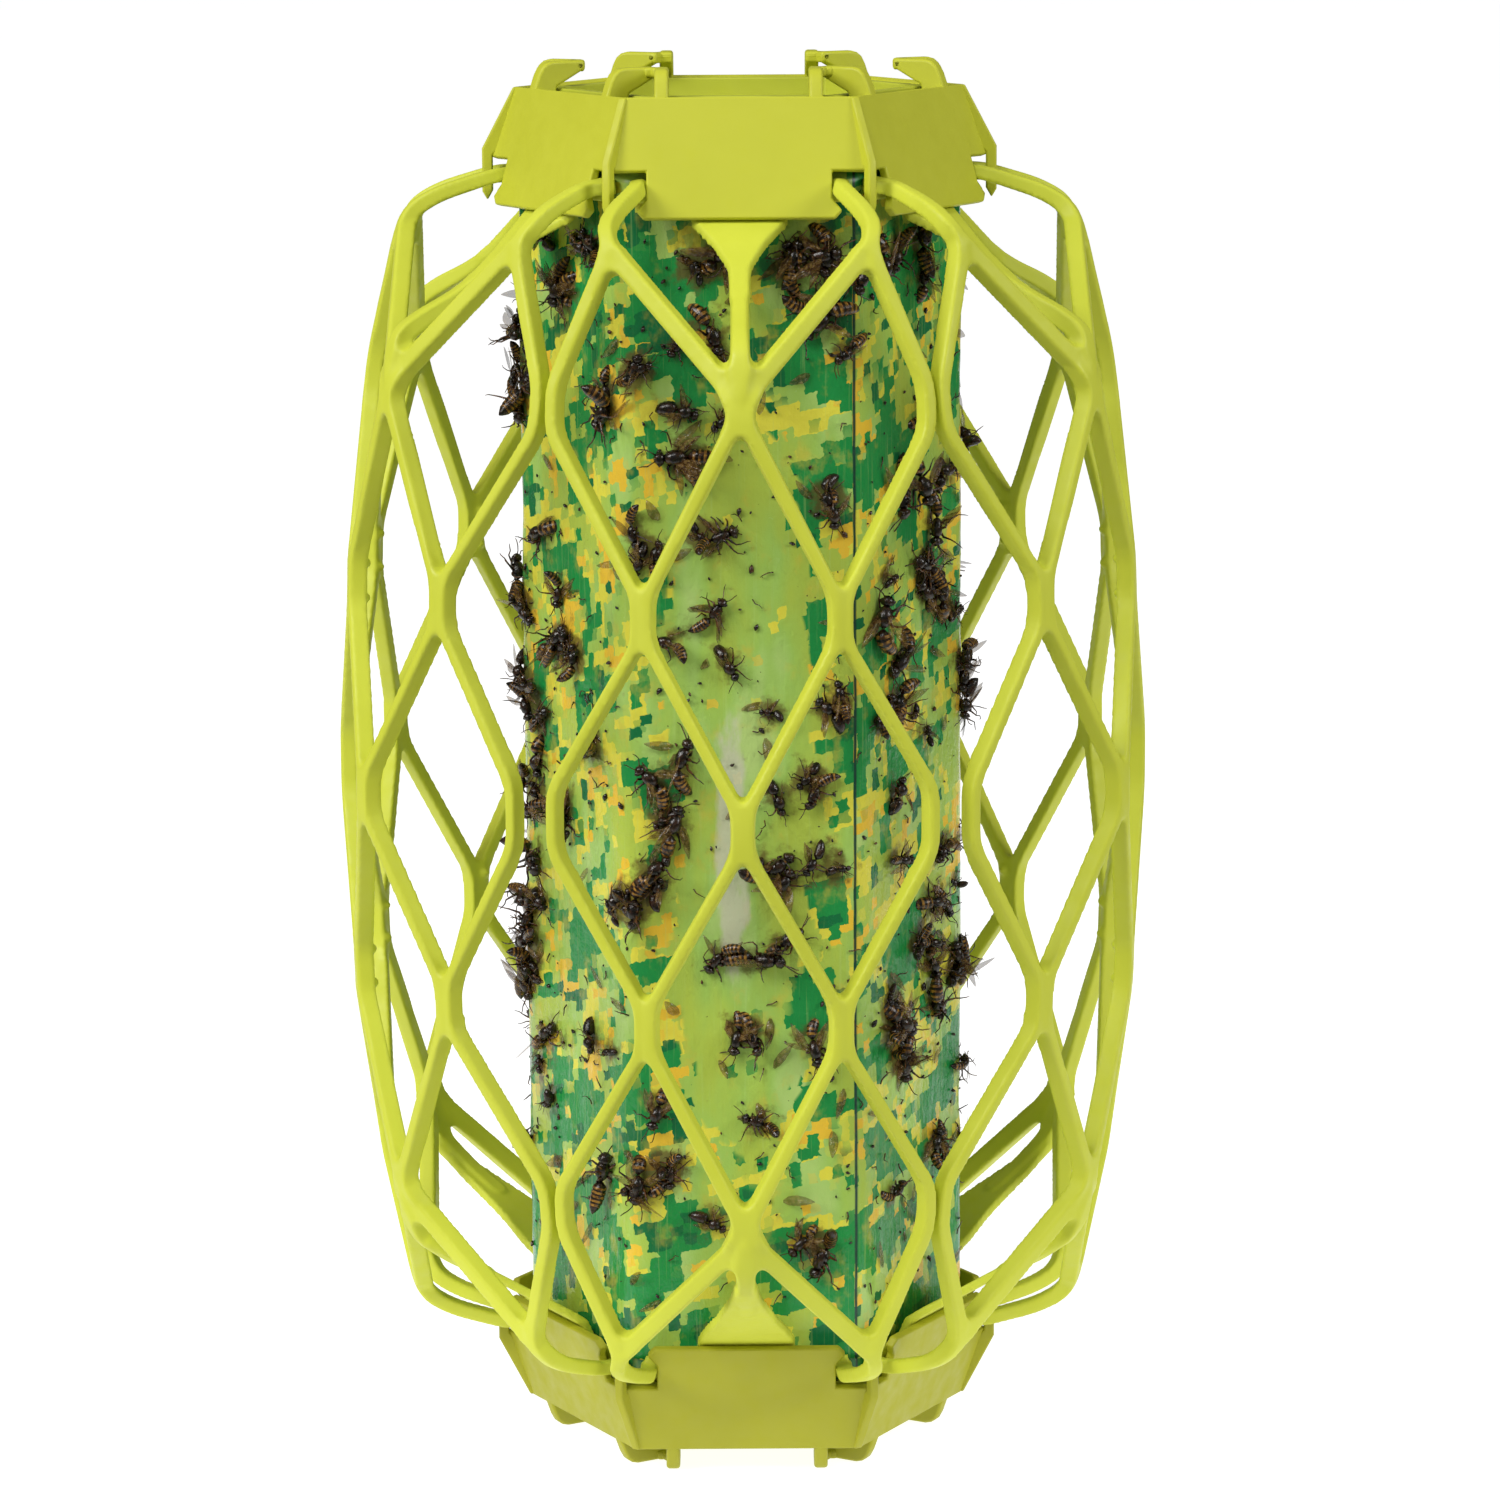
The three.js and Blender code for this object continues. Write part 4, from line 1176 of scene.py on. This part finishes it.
def bent_path(start, heading, steps, bend):
    """Points from a start, turning by a random bend at each step."""
    points = [Vector(start)]
    heading = Vector(heading).normalized()
    for step in steps:
        points.append(points[-1] + heading * step)
        heading += Vector((rng.uniform(-bend, bend), rng.uniform(-bend, bend),
                           rng.uniform(-bend, bend)))
        heading.normalize()
    return points


def add_wing(shells, place, length, width):
    """A thin closed wing in its own XY plane, with its root at the origin."""
    outline = []
    for side in (1, -1):
        for t in (0.02, 0.2, 0.45, 0.7, 0.88, 0.98)[::side]:
            bulge = math.sin(math.pi * t ** 0.75) ** 0.8 * (0.62 if side > 0 else 0.38)
            outline.append((t * length, side * bulge * width))
    shells.paint = WING
    shells.prism(outline[::-1], 0.09, place)


def add_insect(shells, place, length, banded):
    """Head, thorax, waist, abdomen, six legs, feelers and wings, along +X with the back up."""
    unit = length / 13
    stout = rng.uniform(0.78, 1.0) if banded else rng.uniform(1.0, 1.3)
    scale = place @ Matrix.Diagonal((unit, unit, unit, 1))
    shells.paint = CHITIN
    head = [(5.9, 0, -0.5), (5.7, 0, -0.3), (5.1, 0, 0), (4.4, 0, 0.1), (4.0, 0, 0.1)]
    shells.tube(head, [0.5, 1.1, 1.5, 1.3, 0.5], 8, scale)
    for hand in (-1, 1):
        eye = [(5.5, hand * 0.9, 0.1), (5.1, hand * 1.25, 0.1), (4.6, hand * 1.15, 0.1)]
        shells.tube(eye, [0.35, 0.62, 0.3], 6, scale)
    chest = [(4.1, 0, 0), (3.5, 0, 0.1), (2.2, 0, 0.25), (0.9, 0, 0.2), (0.0, 0, 0),
             (-0.5, 0, -0.1)]
    shells.tube(chest, [0.6, 1.3, 1.75 * stout, 1.6 * stout, 0.9, 0.35], 10, scale)

    # the abdomen curls down and sideways, and its back edges are banded
    curl = Vector((0, rng.uniform(-0.13, 0.13), rng.uniform(-0.20, 0.04)))
    heading = Vector((-1, 0, 0.05))
    point = Vector((-0.6, 0, -0.1))
    rings, radii = [point.copy()], [0.3]
    for radius in (0.9, 1.5, 1.72, 1.62, 1.78, 1.66, 1.74, 1.58, 1.6, 1.36, 1.3, 0.95, 0.6, 0.14):
        heading = (heading + curl).normalized()
        point = point + heading * 0.52
        rings.append(point.copy())
        radii.append(radius * stout)
    shells.tube(rings, radii, 10, scale)
    if banded:
        first = len(shells.faces) - 2 - 10 * (len(rings) - 1)
        for row in (2, 4, 6, 8, 10):
            for face in range(first + row * 10, first + row * 10 + 10):
                shells.paints[face] = BAND

    shells.paint = LIMB
    for pair, root in enumerate((3.1, 2.0, 1.0)):
        for hand in (-1, 1):
            ahead = 0.9 - 0.9 * pair + rng.uniform(-0.5, 0.5)
            reach = Vector((ahead, hand, rng.uniform(-0.5, 0.5)))
            bones = (1.1, 1.9 + 0.4 * pair, 1.2, 1.5, 0.8)
            path = bent_path((root, hand * 0.9, -1.0), reach, bones, 0.85)
            shells.tube(path, [0.34, 0.30, 0.20, 0.16, 0.12, 0.06], 5, scale)
    for hand in (-1, 1):
        path = bent_path((5.7, hand * 0.5, 0.4), (1, hand * 0.7, 0.6), (1.1, 1.3, 1.2, 0.9), 0.5)
        shells.tube(path, [0.15, 0.13, 0.14, 0.13, 0.08], 5, scale)

    for hand in (-1, 1):
        for back, size in ((0, 1), (1, 0.72)):
            if rng.random() < 0.12:
                continue
            swing = math.pi - hand * rng.uniform(0.15, 0.95) - hand * 0.25 * back
            lay = (Matrix.Translation((2.2 - back, hand * 1.0, 1.2 - 0.3 * back))
                   @ Matrix.Rotation(swing, 4, "Z")
                   @ Matrix.Rotation(rng.uniform(-0.5, 0.2), 4, "Y")
                   @ Matrix.Rotation(rng.uniform(-0.6, 0.6), 4, "X"))
            add_wing(shells, scale @ lay, 8.8 * size, 2.3 * size)


def add_scrap(shells, place):
    """A loose leg, wing or crumb."""
    kind = rng.random()
    if kind < 0.25:
        shells.paint = LIMB
        path = bent_path((0, 0, 0), (1, 0, 0.2), (1.0, 1.1, 0.9), 0.9)
        shells.tube(path, [0.16, 0.15, 0.11, 0.05], 4, place)
    elif kind < 0.36:
        add_wing(shells, place @ Matrix.Rotation(rng.uniform(-0.3, 0.1), 4, "Y"),
                 rng.uniform(4, 7), rng.uniform(1.4, 2.2))
    else:
        shells.paint = rng.choice((CHITIN, CHITIN, LIMB))
        size = rng.uniform(0.12, 0.5) * rng.uniform(0.5, 1.2)
        path = bent_path((0, 0, 0), (1, 0, 0), (size, size, size), 0.5)
        shells.tube(path, [size * 0.3, size, size * 0.8, size * 0.25], 5, place)


def lie_on(face, across, z, height, roll=0.0):
    """A place on a face, with local up away from it and a random heading."""
    edge = 17.5
    side = math.copysign(max(0.0, abs(across) - edge), across)
    lean = min(0.5, abs(side) * 0.13) * math.copysign(1, across)
    out = GLUE_OUT - 0.5 * abs(side) * math.tan(abs(lean)) + height
    stand = Matrix(((1, 0, 0, across), (0, 0, -1, -out), (0, 1, 0, z), (0, 0, 0, 1)))
    return (Matrix.Rotation(face * TURN, 4, "Z") @ stand @ Matrix.Rotation(lean, 4, "Y")
            @ Matrix.Rotation(rng.uniform(0, 2 * math.pi), 4, "Z")
            @ Matrix.Rotation(rng.uniform(-0.22, 0.22), 4, "Y") @ Matrix.Rotation(roll, 4, "X"))


def make_insects():
    """One piece of caught insects and crumbs per face. Returns where the insects lie."""
    paints = insect_paints()
    spots = []
    for face, swarms in enumerate(SWARMS):
        shells = Shells()
        for across, z, count in swarms:
            for i in range(count):
                spread = 3.4 if count > 1 else 1.0
                x = max(-FACE_HALF, min(FACE_HALF, across + rng.gauss(0, spread)))
                height = z + rng.gauss(0, spread * 1.1)
                banded = rng.random() < WASP_SHARE
                length = rng.uniform(8.0, 12.8) if banded else rng.uniform(4.0, 8.5)
                roll = rng.choice((0, 0.5, -0.5, 1.5, -1.5, 3.0)) + rng.uniform(-0.3, 0.3)
                sit = 0.11 * length + rng.uniform(-0.3, 0.5)
                place = lie_on(face, x, min(TOP_INSECT, height), sit, roll)
                add_insect(shells, place, length, banded)
                spots.append(place.translation.copy())
        for _ in range(SCRAPS):
            x = rng.uniform(-FACE_HALF, FACE_HALF)
            height = rng.uniform(-SCRAP_END, SCRAP_END)
            add_scrap(shells, lie_on(face, x, height, 0.1))
        bugs = shells.build(f"caught_insects_{face + 1}", *paints)
        finish_piece(bugs, "root", "sticky_coating")
    return spots


# ------------------------------------------------------------------ assembly
def main():
    lime = lime_plastic("lime_collar", *COLLAR_LIME)
    shaded = lime_plastic("lime_shade", *CAP_LIME)
    make_guard_panels(lime_plastic("lime_panel", *PANEL_LIME))
    make_collar("top", lime)
    # the bottom collar takes the darker lime, which is painted shade
    make_collar("bottom", lime_plastic("lime_collar_lower_painted_shade", *SHADED_LOWER_COLLAR_LIME))
    make_end_cap("top", shaded, CUP["out"] + 0.3)
    make_end_cap("bottom", shaded, 6.0)
    make_bail(steel_wire())
    make_lure_cup(shaded)
    make_lure_lid(shaded)
    make_septum(lure_rubber())
    make_film(make_insects())
    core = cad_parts["core_tube"]
    core.data.materials.clear()
    core.data.materials.append(core_board())


make_camera()
make_studio()
make_floor()
main()
